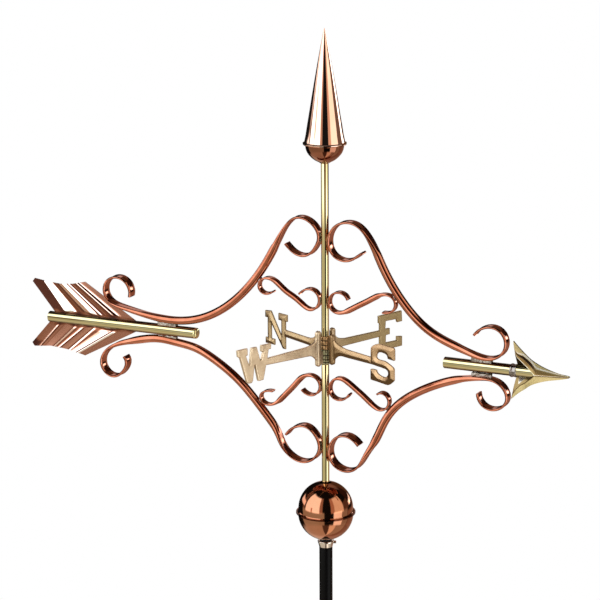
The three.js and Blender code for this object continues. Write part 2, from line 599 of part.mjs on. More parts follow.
function headPlate({ side, creaseX, creaseSteps, topRear, bottomRear }) {
  const wing = (z, edge, rear) => {
    const crease = Array.from({ length: creaseSteps + 1 },
      (_, i) => [creaseX + ((TIP_X - creaseX) * i) / creaseSteps, z]);
    return solid(bulgedSheet([...crease, ...[...edge].reverse(), ...rear], side));
  };
  return wing(CREASE_Z - CREASE_OVERLAP, EDGE_TOP, topRear)
    .add(wing(CREASE_Z + CREASE_OVERLAP, EDGE_BOTTOM, bottomRear))
    .subtract(headTubeClearance);
}
add('arrowhead_front_plate', headPlate(FRONT_PLATE), 'brass');
add('arrowhead_back_plate', headPlate(BACK_PLATE), 'brass');

// band around the head tube; [radius, x]
const HEAD_COLLAR = [
  [ARROW_CLEAR_R, 327.6], [10.5, 327.6], [11.1, 329], [11.1, 332.2], [10.5, 333.6],
  [ARROW_CLEAR_R, 333.6],
];
add('head_collar', alongX(hollowLathe(HEAD_COLLAR, 16)), 'solder');

// ---------------------------------------------------------------- solder
// Saddles bridge the large scrolls to the arrow tubes.
const SADDLE = { length: 35, width: 15.2, innerZ: 4.6 };

function saddle(rearX, outerZ, side, cutter) {
  const { length, width, innerZ } = SADDLE;
  const block = new THREE.BoxGeometry(length, width, outerZ - innerZ)
    .translate(rearX + length / 2, 0, (side * (innerZ + outerZ)) / 2);
  const tube = alongX(disc(ARROW_CLEAR_R, rearX - 5, rearX + length + 5, 20));
  return solid(block).subtract(solid(tube)).subtract(cutter);
}
for (const [end, level, rearX, outerZ] of [
  ['tail', 'upper', -313, 13.6], ['tail', 'lower', -313, 13.6],
  ['head', 'upper', 260, 14.6], ['head', 'lower', 260, 17.2],
]) {
  const side = level === 'upper' ? 1 : -1;
  const shape = saddle(rearX, outerZ, side, scrollCutters[`scroll_${level}_${end}`]);
  add(`solder_arrow_${end}_${level}`, shape, 'solder');
}

// Beads are ellipsoids, cut back to clear the two pieces they join.
const LARGE_BEAD = [2.3, 5.6, 11];        // half sizes along x, y, z before tilting
const SMALL_BEAD = [2.2, 5, 8];
const LINK_BEAD = [2.6, 4.6, 6.5];
const BEAD_X = 7.4;
const spindleCutter = solid(disc(SPINDLE_OUTER_R + GAP + 0.05, -300, 340, 16));

function bead(x, z, halfSizes, tilt, cutters) {
  const ellipsoid = new THREE.SphereGeometry(1, 8, 6)
    .scale(...halfSizes)
    .rotateY(tilt)
    .translate(x, 0, z);
  return cutters.reduce((rest, cutter) => rest.subtract(cutter), solid(orient(ellipsoid)));
}
for (const [joint, scrollName, side, z, halfSizes] of [
  ['spindle_upper_tail', 'scroll_upper_tail', -1, 188.5, LARGE_BEAD],
  ['spindle_upper_head', 'scroll_upper_head', 1, 182, LARGE_BEAD],
  ['spindle_lower_tail', 'scroll_lower_tail', -1, -170.6, LARGE_BEAD],
  ['spindle_lower_head', 'scroll_lower_head', 1, -176.8, LARGE_BEAD],
  ['small_upper_tail', 'small_scroll_upper_tail', -1, 81.7, SMALL_BEAD],
  ['small_upper_head', 'small_scroll_upper_head', 1, 80.8, SMALL_BEAD],
  ['small_lower_tail', 'small_scroll_lower_tail', -1, -64.6, SMALL_BEAD],
  ['small_lower_head', 'small_scroll_lower_head', 1, -66.2, SMALL_BEAD],
]) {
  const cutters = [spindleCutter, scrollCutters[scrollName]];
  add(`solder_${joint}`, bead(side * BEAD_X, z, halfSizes, 0, cutters), 'solder');
}
// between each small scroll and its large one; tilt in radians about Y
for (const [place, x, z, tilt] of [
  ['upper_tail', -119.3, 105.3, -2.52], ['upper_head', 125.3, 98.7, -0.665],
  ['lower_tail', -118.5, -104.7, 2.409], ['lower_head', 114.3, -89.1, 0.67],
]) {
  const cutters = [scrollCutters[`small_scroll_${place}`], scrollCutters[`scroll_${place}`]];
  add(`solder_small_to_${place}`, bead(x, z, LINK_BEAD, tilt, cutters), 'solder');
}

// ---------------------------------------------------------------- compass castings
// Outlines are [distance from the spindle axis, z].
const LETTER_THICKNESS = 4.4; // of letters and arms
const SLEEVE_R = 16.4 / 2;
const SLEEVE_BORE_R = 4.4;
const LETTER_N = [
  [145.3, 39], [145.3, 28], [139.2, 28], [139.2, -7.5], [144.6, -7.5], [144.6, -17.3],
  [122.4, -17.3], [122.4, -7.6], [131, -7.6], [131, 20], [102.1, -19.8], [96, -19.8],
  [96, 28.5], [91.5, 28.5], [91.5, 40], [112.5, 40], [112.5, 28.5], [105.5, 28.5],
  [105.5, 0.5], [131.5, 40.5],
];
// the W is narrowed towards its inner side and lowered towards the arrow axis
const W_FIT = { innerSide: 124, width: 0.935, height: 0.92 };
const LETTER_W = [
  [202, 36.5], [179.3, 36.1], [179.1, 24.2], [183.4, 24], [176.3, 5.6], [173.5, 4.3],
  [169.5, 35], [157.7, 34.8], [149.8, 9.1], [146.3, 9.4], [141.7, 23.5], [146.7, 24.8],
  [146.5, 35.5], [123.9, 34.8], [124.6, 25.9], [130, 25.6], [133.4, 9.2], [141, -20.9],
  [142.9, -27.6], [153.9, -27.6], [154.7, -25.5], [160.5, -1], [161.1, 3.5], [163.7, 3.1],
  [167.4, -24.5], [170.1, -27.8], [176.9, -27.7], [181, -24.4], [195.6, 21.6], [201.1, 25.8],
].map(([u, z]) => [W_FIT.innerSide + (u - W_FIT.innerSide) * W_FIT.width, z * W_FIT.height]);
const LETTER_E = [
  [125, 32.5], [125, 20.5], [128, 19], [128, -18], [125, -19.5], [125, -29],
  [180.8, -29.1], [180.8, -12.8], [169.3, -11], [169.3, -18.2], [140.8, -17.1],
  [141.5, -3.2], [150.7, -3.3], [150.7, 6.9], [139.9, 7.2], [140.8, 21.4],
  [168.4, 20.2], [169.7, 14.1], [180.7, 14.4], [179.4, 32.4],
];
const S_CENTRELINE = [
  [154.6, 11.5], [154.3, 17.5], [149.5, 23], [140, 25.3], [129, 25.2], [118.5, 22],
  [113.6, 15], [116.5, 8], [126, 4], [140, 0.2], [150.5, -5.5], [154.2, -14],
  [150.5, -22], [141, -26], [128, -26.2], [119, -24.6], [114.5, -20.5], [113.6, -13.8],
];
const LETTER_S = stroke(S_CENTRELINE, 11.8);
const FLANGE = [
  [12.2, -26.5], [14.2, -28.8], [16.6, -29.6], [19, -28.8], [21, -26.5],
  [21, 28.5], [19, 30.8], [16.6, 31.6], [14.2, 30.8], [12.2, 28.5],
];

// outline of a band of a given width along a path
function stroke(path, width) {
  const left = [];
  const right = [];
  path.forEach(([u, z], i) => {
    const before = path[Math.max(0, i - 1)];
    const after = path[Math.min(path.length - 1, i + 1)];
    const span = Math.hypot(after[0] - before[0], after[1] - before[1]);
    const offsetU = ((-(after[1] - before[1]) / span) * width) / 2;
    const offsetZ = (((after[0] - before[0]) / span) * width) / 2;
    left.push([u + offsetU, z + offsetZ]);
    right.push([u - offsetU, z - offsetZ]);
  });
  return [...left, ...right.reverse()];
}

// arm from the flange to the letter; each station is [distance, top z, bottom z]
function armOutline([u1, top1, bottom1], [u2, top2, bottom2]) {
  return [
    [19, 25], [22.4, 18], [27, 13.5], [33, 11.2], [u1, top1], [u2, top2],
    [u2, bottom2], [u1, bottom1], [33, bottom1 - 1.6], [27, bottom1 - 5.4],
    [22.4, -15.5], [19, -21.5],
  ];
}

// hub sleeve with two lettered arms; each arm is [heading, arm outline, letter outline]
function casting(arms, bottomZ, topZ) {
  const low = bottomZ + 0.6;
  const high = topZ - 0.6;
  const web = [[2, low], [14, low], [14, high], [2, high]];
  let body = solid(disc(SLEEVE_R, bottomZ, topZ, 20));
  for (const [heading, arm, letter] of arms) {
    body = body
      .add(solid(plate(FLANGE, 8, heading)))
      .add(solid(plate(web, 6.4, heading)))
      .add(solid(plate(arm, LETTER_THICKNESS, heading)))
      .add(solid(plate(letter, LETTER_THICKNESS, heading)));
  }
  return body.subtract(solid(disc(SLEEVE_BORE_R, bottomZ - 5, topZ + 5, 16)));
}
const northSouth = casting([
  [NORTH, armOutline([44, 10.8, -1.2], [98, 13.4, 2]), LETTER_N],
  [SOUTH, armOutline([50, 7.8, -5.6], [120, 5.9, -4]), LETTER_S],
], HUB_SPLIT_Z + GAP, HUB_TOP_Z);
const westEast = casting([
  [WEST, armOutline([44, 9.8, -5.6], [136, 8.4, -1.9]), LETTER_W],
  [EAST, armOutline([45, 8.9, -3.2], [130, 6.7, -3.6]), LETTER_E],
], HUB_BOTTOM_Z, HUB_SPLIT_Z - GAP);

// one set screw through each sleeve, midway between the east and north arms
const HUB_SCREW = { heading: (EAST + NORTH) / 2, upperZ: 10.5, lowerZ: -14 };

const hubHole = z => solid(radialPin(2.4, 3, 12, z, HUB_SCREW.heading));
function hubScrew(z) {
  const screw = radialPin(2, ROD_R + 0.35, SLEEVE_R, z, HUB_SCREW.heading);
  const socket = radialPin(0.9, 6.6, 12, z, HUB_SCREW.heading, 6);
  return solid(screw).subtract(solid(socket));
}
add('compass_casting_north_south', northSouth.subtract(hubHole(HUB_SCREW.upperZ)), 'cast');
add('compass_casting_west_east', westEast.subtract(hubHole(HUB_SCREW.lowerZ)), 'cast');
add('hub_set_screw_upper', hubScrew(HUB_SCREW.upperZ), 'steel');
add('hub_set_screw_lower', hubScrew(HUB_SCREW.lowerZ), 'steel');

export default vane;
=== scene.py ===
"""Weather vane: a brass and copper arrow turning above compass letters on a black pole.

The arrow lies along X, its head towards +X. The spindle stands on Z, and -Y is the front,
the camera's side. Shapes are in mm from the point where spindle and arrow axis cross;
scene and shader coordinates are in metres with the pole's lower end at z = 0.
"""
import bpy
import bmesh
import math
import numpy as np
from mathutils import Vector, Matrix


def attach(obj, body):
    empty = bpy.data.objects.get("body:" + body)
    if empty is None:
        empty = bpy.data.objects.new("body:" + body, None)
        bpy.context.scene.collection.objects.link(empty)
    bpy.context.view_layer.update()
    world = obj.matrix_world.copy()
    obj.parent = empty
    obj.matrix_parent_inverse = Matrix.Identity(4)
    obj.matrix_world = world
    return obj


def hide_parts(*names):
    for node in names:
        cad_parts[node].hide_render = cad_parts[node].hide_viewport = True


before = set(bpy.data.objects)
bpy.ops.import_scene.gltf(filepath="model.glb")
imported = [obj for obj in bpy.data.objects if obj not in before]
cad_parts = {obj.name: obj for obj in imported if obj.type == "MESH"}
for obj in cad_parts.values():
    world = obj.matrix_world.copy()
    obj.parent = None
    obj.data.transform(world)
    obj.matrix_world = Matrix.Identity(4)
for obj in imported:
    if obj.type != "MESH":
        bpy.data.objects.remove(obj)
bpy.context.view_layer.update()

# ------------------------------------------------------------------ driving dimensions, mm
MM = 0.001                      # metres per mm
AXIS_HEIGHT = 460.0             # arrow axis above the pole's lower end
SPINDLE_R, SPINDLE_WALL = 6.35, 0.9
ARROW_R, ARROW_WALL = 9.525, 1.2
TAIL_TUBE_X = (-528.8, -243.2)
HEAD_TUBE_X = (213.2, 372)
GLOBE_WALL = 1.2
UPPER_GLOBE_R, UPPER_GLOBE_Z = 46.2, -278.5
LOWER_GLOBE_R, LOWER_GLOBE_Z = 46.8, -286.9
CENTRE_HOLE_R = 4.27            # through lower globe half, washer and pole top
COLLAR_SCREW_Z = -339.6
COLLAR_SCREW_YAW = math.radians(22)
NORTH_YAW = 158.5               # degrees from +X
HUB_SCREW_YAW = math.radians(113.5)


def table(columns, *numbers):
    return np.array(numbers, float).reshape(-1, columns)


# ------------------------------------------------------------------ node graphs
class Graph:
    """Short calls for writing node graphs. A value may be a number, a colour or a socket."""

    def __init__(self, tree):
        self.nodes = tree.nodes
        self.links = tree.links
        self.shader = tree.nodes.get("Principled BSDF")

    def node(self, kind, **settings):
        made = self.nodes.new(kind)
        for key, value in settings.items():
            setattr(made, key, value)
        return made

    def put(self, socket, value):
        if hasattr(value, "is_output"):
            self.links.new(value, socket)
        else:
            socket.default_value = value

    def feed(self, name, value):
        """Sets or links an input of the surface shader."""
        self.put(self.shader.inputs[name], value)

    def fed(self, name):
        """The socket that feeds an input of the surface shader."""
        return self.shader.inputs[name].links[0].from_socket

    def math(self, operation, a, b=0.0, clamp=False):
        made = self.node("ShaderNodeMath", operation=operation, use_clamp=clamp)
        for socket, value in zip(made.inputs, (a, b, 0.0)):
            self.put(socket, value)
        return made.outputs[0]

    def plus(self, a, b, clamp=False):
        return self.math("ADD", a, b, clamp)

    def minus(self, a, b):
        return self.math("SUBTRACT", a, b)

    def times(self, a, b, clamp=False):
        return self.math("MULTIPLY", a, b, clamp)

    def inverse(self, a):
        return self.minus(1.0, a)

    def vector(self, operation, a, b=(0, 0, 0)):
        made = self.node("ShaderNodeVectorMath", operation=operation)
        self.put(made.inputs[0], a)
        self.put(made.inputs[1], b)
        return made.outputs["Value" if operation == "DOT_PRODUCT" else "Vector"]

    def remap(self, value, from_low, from_high, to_low, to_high, **settings):
        made = self.node("ShaderNodeMapRange", **settings)
        for socket, v in zip(made.inputs[:5], (value, from_low, from_high, to_low, to_high)):
            self.put(socket, v)
        return made.outputs[0]

    def step(self, value, low, high):
        """Smooth rise from 0 at low to 1 at high."""
        return self.remap(value, low, high, 0.0, 1.0, interpolation_type="SMOOTHSTEP")

    def noise(self, position, scale, detail, rough, warp=0.0):
        made = self.node("ShaderNodeTexNoise")
        self.put(made.inputs["Vector"], position)
        made.inputs["Scale"].default_value = scale
        made.inputs["Detail"].default_value = detail
        made.inputs["Roughness"].default_value = rough
        made.inputs["Distortion"].default_value = warp
        return made.outputs["Fac"]

    def mix(self, share, a, b, blend="MIX"):
        made = self.node("ShaderNodeMix", data_type="RGBA", blend_type=blend)
        self.put(made.inputs[0], share)
        for socket, colour in ((made.inputs[6], a), (made.inputs[7], b)):
            self.put(socket, colour if hasattr(colour, "is_output") else (*colour, 1))
        return made.outputs[2]

    def mix_shader(self, share, a, b):
        made = self.node("ShaderNodeMixShader")
        for socket, source in zip(made.inputs, (share, a, b)):
            self.put(socket, source)
        return made.outputs[0]

    def ramp(self, value, stops):
        """Colour ramp; stops are (position, colour), the first at 0 and the last at 1."""
        made = self.node("ShaderNodeValToRGB")
        elements = made.color_ramp.elements
        elements[0].color = (*stops[0][1], 1)
        elements[1].color = (*stops[-1][1], 1)
        for position, colour in stops[1:-1]:
            elements.new(position).color = (*colour, 1)
        self.put(made.inputs[0], value)
        return made.outputs[0]

    def bump(self, height, distance):
        made = self.node("ShaderNodeBump")
        made.inputs["Strength"].default_value = 1.0
        made.inputs["Distance"].default_value = distance
        self.put(made.inputs["Height"], height)
        return made.outputs[0]

    def split(self, vector):
        made = self.node("ShaderNodeSeparateXYZ")
        self.put(made.inputs[0], vector)
        return made.outputs

    def position(self):
        return self.split(self.node("ShaderNodeTexCoord").outputs["Object"])

    def normal(self):
        return self.split(self.node("ShaderNodeNewGeometry").outputs["Normal"])

    def radius(self, place):
        """Distance from the upright axis."""
        squares = self.plus(self.times(place[0], place[0]), self.times(place[1], place[1]))
        return self.math("SQRT", squares)

    def attribute(self, name):
        return self.node("ShaderNodeAttribute", attribute_name=name).outputs["Fac"]

    def light_path(self, ray):
        return self.node("ShaderNodeLightPath").outputs[ray]


def empty_material(name):
    made = bpy.data.materials.new(name)
    made.use_nodes = True
    made.node_tree.nodes.clear()
    return made, Graph(made.node_tree)


def material(name):
    """A material, its graph and the object position."""
    made, g = empty_material(name)
    output = g.node("ShaderNodeOutputMaterial")
    g.shader = g.node("ShaderNodeBsdfPrincipled")
    g.put(output.inputs[0], g.shader.outputs[0])
    return made, g, g.node("ShaderNodeTexCoord").outputs["Object"]


def lean(g, normal, mask, amount):
    """Burnished lines are pressed so that they lean upwards by amount where mask is 1."""
    up = g.node("ShaderNodeCombineXYZ")
    g.put(up.inputs[2], g.times(mask, amount))
    tilted = g.vector("ADD", normal, up.outputs[0])
    g.feed("Normal", g.vector("NORMALIZE", tilted))


# ------------------------------------------------------------------ materials
def metal(name, light, dark, spot, rough, spotted, bump, coarse=22.0, fine=260.0):
    """Polished metal: cloudy tone, tarnished spots, uneven polish and a slightly wavy surface.

    rough is the roughness range, spotted the strength of the spots, bump the wave height
    in metres; coarse and fine are the noise scales of clouds and spots.
    """
    made, g, place = material(name)
    cloud = g.noise(place, coarse, detail=4, rough=0.6, warp=0.3)
    tone = g.mix(g.step(cloud, 0.35, 0.68), light, dark)
    speck = g.step(g.noise(place, fine, detail=3, rough=0.7), 0.66, 0.78)
    tone = g.mix(g.times(speck, spotted), tone, spot)
    g.feed("Base Color", (*light, 1))
    g.feed("Base Color", tone)
    g.feed("Metallic", 1.0)
    polish = g.noise(place, coarse * 2.3, detail=5, rough=0.65)
    polish = g.remap(polish, 0.3, 0.75, *rough)
    g.feed("Roughness", g.plus(polish, g.times(speck, 0.12)))
    waves = g.noise(place, coarse * 1.6, detail=2, rough=0.5)
    ripples = g.noise(place, fine * 1.2, detail=2, rough=0.6)
    g.feed("Normal", g.bump(g.plus(waves, g.times(ripples, 0.05)), bump))
    return made


def dark_seam(base, radius, colour):
    """The rolled seam beyond a radius about the upright axis is coloured darker."""
    g = Graph(base.node_tree)
    polished = g.fed("Base Color")
    beyond = g.step(g.radius(g.position()), radius, radius + 0.0006)
    g.feed("Base Color", g.mix(beyond, polished, colour))


def painted_girth_bands(name, base, stops):
    """Copy of a metal for a lying tube with painted reflection bands, lighter and darker around
    the girth as the surface faces up or down.

    stops are (upward tilt, strength).
    """
    made = base.copy()
    made.name = name
    g = Graph(made.node_tree)
    polished = g.fed("Base Color")
    # painted reflection bands: the colour is scaled by how far the surface faces up
    tilt = g.remap(g.normal()[2], -1.0, 1.0, 0.0, 1.0)
    strength = g.ramp(tilt, [((z + 1) / 2, (k, k, k)) for z, k in stops])
    g.feed("Base Color", g.mix(1.0, polished, strength, "MULTIPLY"))
    return made


def dark_top_strip(name, base, x_end, colour):
    """Copy of a metal, coloured darker along the top of a lying tube up to x_end in metres."""
    made = base.copy()
    made.name = name
    g = Graph(made.node_tree)
    polished = g.fed("Base Color")
    top = g.step(g.normal()[2], 0.70, 0.86)
    before_end = g.inverse(g.step(g.position()[0], x_end - 0.012, x_end + 0.03))
    g.feed("Base Color", g.mix(g.times(top, before_end), polished, colour))
    return made


def head_material():
    """Satin brass sheet with painted shade and painted highlight bands from the tone attribute;
    painted shade inside the fold, with a painted highlight low in it.
    """
    made = metal("brass_sheet_satin", light=(0.74, 0.65, 0.34), dark=(0.62, 0.53, 0.25),
                 spot=(0.3, 0.22, 0.08), rough=(0.20, 0.27), spotted=0.03, bump=0.00004,
                 coarse=18.0)
    g = Graph(made.node_tree)
    satin = g.fed("Base Color")
    tone = g.attribute("tone")
    # painted shade: low tones go near black
    painted_dark_bands = g.mix(g.step(tone, 0.0, 0.28), (0.022, 0.013, 0.006), (0.30, 0.20, 0.07))
    outside = g.mix(g.step(tone, 0.30, 0.58), painted_dark_bands, satin)
    # painted highlight: high tones go almost white
    outside = g.mix(g.step(tone, 0.75, 1.0), outside, (1.0, 0.97, 0.84))
    x, y, z = g.position()
    facing = g.normal()
    inside_fold = g.math("LESS_THAN", g.times(g.times(y, facing[1]), 1000.0), -0.05)
    # a painted highlight patch low inside the fold, between two x limits, a slanting floor and a
    # roof
    patch_start = 337.5 * MM
    painted_highlight_patch = g.times(g.step(g.minus(351.0 * MM, x), 0.0, 0.002),
                    g.step(g.minus(x, patch_start), 0.0, 0.002))
    floor_z = g.plus(g.times(g.minus(x, patch_start), 0.95), (AXIS_HEIGHT - 25.0) * MM)
    painted_highlight_patch = g.times(painted_highlight_patch, g.step(g.minus(z, floor_z), 0.0, 0.002))
    painted_highlight_patch = g.times(painted_highlight_patch, g.step(g.minus((AXIS_HEIGHT - 9.0) * MM, z), 0.0, 0.001))
    # painted shade inside the fold, darker above the arrow axis
    upper = g.step(z, (AXIS_HEIGHT - 3) * MM, (AXIS_HEIGHT + 3) * MM)
    painted_fold_shade = g.mix(upper, (0.20, 0.135, 0.055), (0.13, 0.085, 0.03))
    painted_fold_shade = g.mix(painted_highlight_patch, painted_fold_shade, (1.0, 1.0, 0.95))
    g.feed("Base Color", g.mix(g.times(inside_fold, 0.92), outside, painted_fold_shade))
    g.feed("Metallic", g.minus(0.62, g.times(inside_fold, -0.3)))
    # the lean follows the painted highlight bands and the painted highlight patch
    painted_highlight_mask = g.math("MAXIMUM", g.step(tone, 0.80, 0.95), g.times(painted_highlight_patch, inside_fold))
    lean(g, g.fed("Normal"), painted_highlight_mask, amount=0.24)
    return made


# painted light: colours from painted dark reflection lines up to painted white highlights
FEATHER_STOPS = [   # tone, colour
    (0.0, (0.006, 0.002, 0.0015)), (0.12, (0.115, 0.040, 0.030)), (0.28, (0.25, 0.088, 0.045)),
    (0.45, (0.46, 0.215, 0.155)), (0.55, (0.64, 0.31, 0.215)), (0.75, (0.90, 0.60, 0.48)),
    (1.0, (0.98, 0.93, 0.90))]


def feather_material():
    """Rolled copper sheet whose tone attribute is painted light: painted dark reflection lines
    and painted highlight bands.
    """
    made, g, place = material("copper_feather")
    # the tone attribute is painted light: painted highlights and painted shade
    tone = g.attribute("tone")
    cloud = g.noise(place, 26.0, detail=4, rough=0.6, warp=0.4)
    stretch = g.node("ShaderNodeMapping")
    g.put(stretch.inputs["Vector"], place)
    stretch.inputs["Scale"].default_value = (1.0, 1.0, 0.35)
    grain = g.noise(stretch.outputs[0], 900.0, detail=2, rough=0.6)
    tone = g.plus(tone, g.times(g.minus(cloud, 0.5), 0.10))
    tone = g.plus(tone, g.times(g.minus(grain, 0.5), 0.06), clamp=True)
    g.feed("Base Color", g.ramp(tone, FEATHER_STOPS))
    g.feed("Metallic", 1.0)
    g.feed("Roughness", g.remap(tone, 0.2, 1.0, 0.24, 0.10))
    surface = g.bump(g.plus(cloud, g.times(grain, 0.06)), 0.0001)
    lean(g, surface, g.step(tone, 0.80, 0.93), amount=0.22)
    return made


def cast_material(name, near, far, y_span, dark, under_strength, hub_strength, hub_radius,
                  hub_colour, sleeve_colour, groove_z, tilt_along=None):
    """Satin cast brass with painted shade in hollows, underneath and around the hub.

    near and far are painted lit and shaded tones at the two ends of y_span (metres), a painted
    light falloff. groove_z are dark lines on the sleeve, mm from the arrow axis. tilt_along is
    a direction that counts as upward.
    """
    made, g, place = material(name)
    x, y, z = xyz = g.split(place)
    # painted light falloff: lit near side, shaded far side
    colour = g.mix(g.step(y, *y_span), near, far)
    cloud = g.noise(place, 34.0, detail=5, rough=0.6, warp=0.4)
    colour = g.mix(g.times(g.step(cloud, 0.4, 0.7), 0.35), colour, dark)
    grain = g.noise(place, 700.0, detail=3, rough=0.6)
    colour = g.mix(g.times(g.step(grain, 0.5, 0.75), 0.1), colour, dark)
    normal = g.node("ShaderNodeNewGeometry").outputs["Normal"]
    upward = g.split(normal)[2]
    # painted shade underneath: darker where the surface faces down, and with tilt_along on the
    # lower parts too
    if tilt_along:
        upward = g.plus(upward, g.times(g.vector("DOT_PRODUCT", normal, tilt_along), 0.5))
        upward = g.plus(upward, g.times(g.minus(z, (AXIS_HEIGHT - 6.0) * MM), 9.0))
        under = g.inverse(g.step(upward, -0.08, 0.08))
    else:
        under = g.inverse(g.step(upward, -0.30, 0.10))
    colour = g.mix(g.times(under, under_strength), colour, dark)
    radius = g.radius(xyz)
    # painted shade around the hub
    hub = g.inverse(g.step(radius, 0.012, hub_radius))
    colour = g.mix(g.times(hub, hub_strength), colour, hub_colour)
    on_sleeve = g.inverse(g.step(radius, 0.0086, 0.0092))
    darker_sleeve = tuple(0.7 * c for c in sleeve_colour)
    sleeve = g.mix(g.step(cloud, 0.35, 0.65), sleeve_colour, darker_sleeve)
    colour = g.mix(on_sleeve, colour, sleeve)
    for line_z in groove_z:
        off = g.math("ABSOLUTE", g.minus(z, (AXIS_HEIGHT + line_z) * MM))
        line = g.times(g.inverse(g.step(off, 0.0006, 0.0013)), on_sleeve)
        colour = g.mix(g.times(line, 0.9), colour, (0.03, 0.018, 0.008))
    # painted shade in hollows, from ambient occlusion
    occlusion = g.node("ShaderNodeAmbientOcclusion", samples=4)
    occlusion.inputs["Distance"].default_value = 0.008
    strength = g.minus(0.8, g.times(on_sleeve, 0.55))
    painted_occlusion_shade = g.times(g.inverse(occlusion.outputs["AO"]), strength, clamp=True)
    g.feed("Base Color", g.mix(painted_occlusion_shade, colour, (0.05, 0.03, 0.012)))
    g.feed("Metallic", 0.85)
    g.feed("Roughness", g.remap(grain, 0.3, 0.75, 0.30, 0.42))
    g.feed("Normal", g.bump(g.plus(cloud, g.times(grain, 0.06)), 0.0002))
    return made


def plain(name, light, dark, rough, bump=0.0001, scale=200.0):
    """Non-metal with a fine mottled tone; bump is in metres."""
    made, g, place = material(name)
    mottle = g.noise(place, scale, detail=4, rough=0.6)
    g.feed("Base Color", g.mix(g.step(mottle, 0.35, 0.7), light, dark))
    g.feed("Roughness", g.remap(mottle, 0.3, 0.75, rough * 0.85, rough * 1.15))
    g.feed("Normal", g.bump(mottle, bump))
    return made


COPPER = metal("copper_polished", light=(0.54, 0.205, 0.125), dark=(0.40, 0.13, 0.07),
               spot=(0.16, 0.04, 0.02), rough=(0.07, 0.12), spotted=0.25, bump=0.00022)
# a pale copy of copper for the cone: painted highlight, so that its bright reflections go white
COPPER_CONE = metal("copper_cone_painted_highlight", light=(0.94, 0.66, 0.53), dark=(0.88, 0.58, 0.45),
                    spot=(0.5, 0.2, 0.12), rough=(0.03, 0.06), spotted=0.1, bump=0.00003,
                    coarse=14.0)
COPPER_GLOBE = metal("copper_spun", light=(0.50, 0.225, 0.13), dark=(0.43, 0.175, 0.09),
                     spot=(0.24, 0.06, 0.02), rough=(0.06, 0.10), spotted=0.2, bump=0.0001,
                     coarse=14.0)
dark_seam(COPPER_GLOBE, radius=0.0482, colour=(0.17, 0.05, 0.025))
# a darker copy of copper for the bowl: painted shade that keeps its reflections dim
COPPER_BOWL = metal("copper_bowl", light=(0.34, 0.14, 0.08), dark=(0.27, 0.10, 0.055),
                    spot=(0.16, 0.05, 0.02), rough=(0.05, 0.09), spotted=0.2, bump=0.00008,
                    coarse=18.0)
BRASS = metal("brass_polished", light=(0.80, 0.71, 0.40), dark=(0.74, 0.64, 0.33),
              spot=(0.28, 0.2, 0.06), rough=(0.03, 0.055), spotted=0.1, bump=0.000012,
              coarse=16.0)
BRASS_SHEET = metal("brass_sheet", light=(0.80, 0.72, 0.42), dark=(0.72, 0.64, 0.34),
                    spot=(0.3, 0.22, 0.08), rough=(0.24, 0.32), spotted=0.15, bump=0.0001,
                    coarse=18.0)
NICKEL = metal("nickel_plate", light=(0.72, 0.68, 0.62), dark=(0.62, 0.57, 0.50),
               spot=(0.3, 0.25, 0.2), rough=(0.12, 0.2), spotted=0.2, bump=0.0001, coarse=60.0)
SOLDER_BAND = metal("solder_band_wiped", light=(0.30, 0.28, 0.26), dark=(0.10, 0.09, 0.08),
                    spot=(0.02, 0.015, 0.012), rough=(0.08, 0.16), spotted=0.9, bump=0.0004,
                    coarse=120.0)
STEEL = metal("zinc_steel", light=(0.55, 0.55, 0.54), dark=(0.45, 0.45, 0.45),
              spot=(0.2, 0.2, 0.2), rough=(0.25, 0.4), spotted=0.3, bump=0.0001, coarse=60.0)
SOLDER = metal("solder_lead_free", light=(0.50, 0.46, 0.42), dark=(0.25, 0.22, 0.19),
               spot=(0.06, 0.045, 0.035), rough=(0.32, 0.55), spotted=0.8, bump=0.0012,
               coarse=95.0, fine=420.0)
FEATHER = feather_material()
BRASS_HEAD = head_material()
# near and far: painted light falloff, the near arm lit and the far arm shaded
CAST_WEST_EAST = cast_material(
    "brass_cast_west_east", near=(1.0, 0.83, 0.60), far=(0.46, 0.36, 0.19),
    y_span=(-0.03, 0.06), dark=(0.30, 0.19, 0.09), under_strength=0.6, hub_strength=0.45,
    hub_radius=0.036, hub_colour=(0.26, 0.16, 0.08), sleeve_colour=(0.44, 0.43, 0.25),
    groove_z=(-22.4, -17.7, -10.6))
CAST_NORTH_SOUTH = cast_material(
    "brass_cast_north_south", near=(0.60, 0.40, 0.225), far=(0.50, 0.37, 0.205),
    y_span=(-0.06, 0.05), dark=(0.115, 0.060, 0.020), under_strength=1.0, hub_strength=0.7,
    hub_radius=0.034, hub_colour=(0.22, 0.135, 0.06), sleeve_colour=(0.78, 0.50, 0.24),
    groove_z=(6.7, 14.7), tilt_along=(0.930, -0.366, 0.0))     # along the south arm
POLE = plain("powder_coat_black", light=(0.0010, 0.0010, 0.0012), dark=(0.0022, 0.0022, 0.0025),
             rough=0.38, scale=900.0)
Graph(POLE.node_tree).feed("Specular IOR Level", 0.08)
RUBBER = plain("rubber_black", light=(0.008, 0.008, 0.008), dark=(0.014, 0.013, 0.013),
               rough=0.75)
NYLON = plain("nylon_natural", light=(0.74, 0.72, 0.64), dark=(0.68, 0.66, 0.58), rough=0.5)
# painted reflection bands for the lying tubes
ROD_PAINTED_BANDS = [       # upward tilt of the surface, strength of the tone
    (-1, 0.12), (-0.82, 0.22), (-0.46, 0.46), (-0.34, 0.85), (-0.1, 0.9), (0.05, 0.6),
    (0.12, 0.13), (0.29, 0.13), (0.36, 1.0), (0.56, 1.0), (0.65, 0.5), (0.82, 0.4),
    (0.88, 0.10), (1, 0.07)]
BRASS_ROD = painted_girth_bands("brass_lying_tube_painted_bands", BRASS, ROD_PAINTED_BANDS)
# the tail tube is coloured darker along its top, up to x_end
BRASS_TAIL = dark_top_strip("brass_tail_tube", BRASS_ROD, x_end=-0.355,
                           colour=(0.10, 0.075, 0.03))


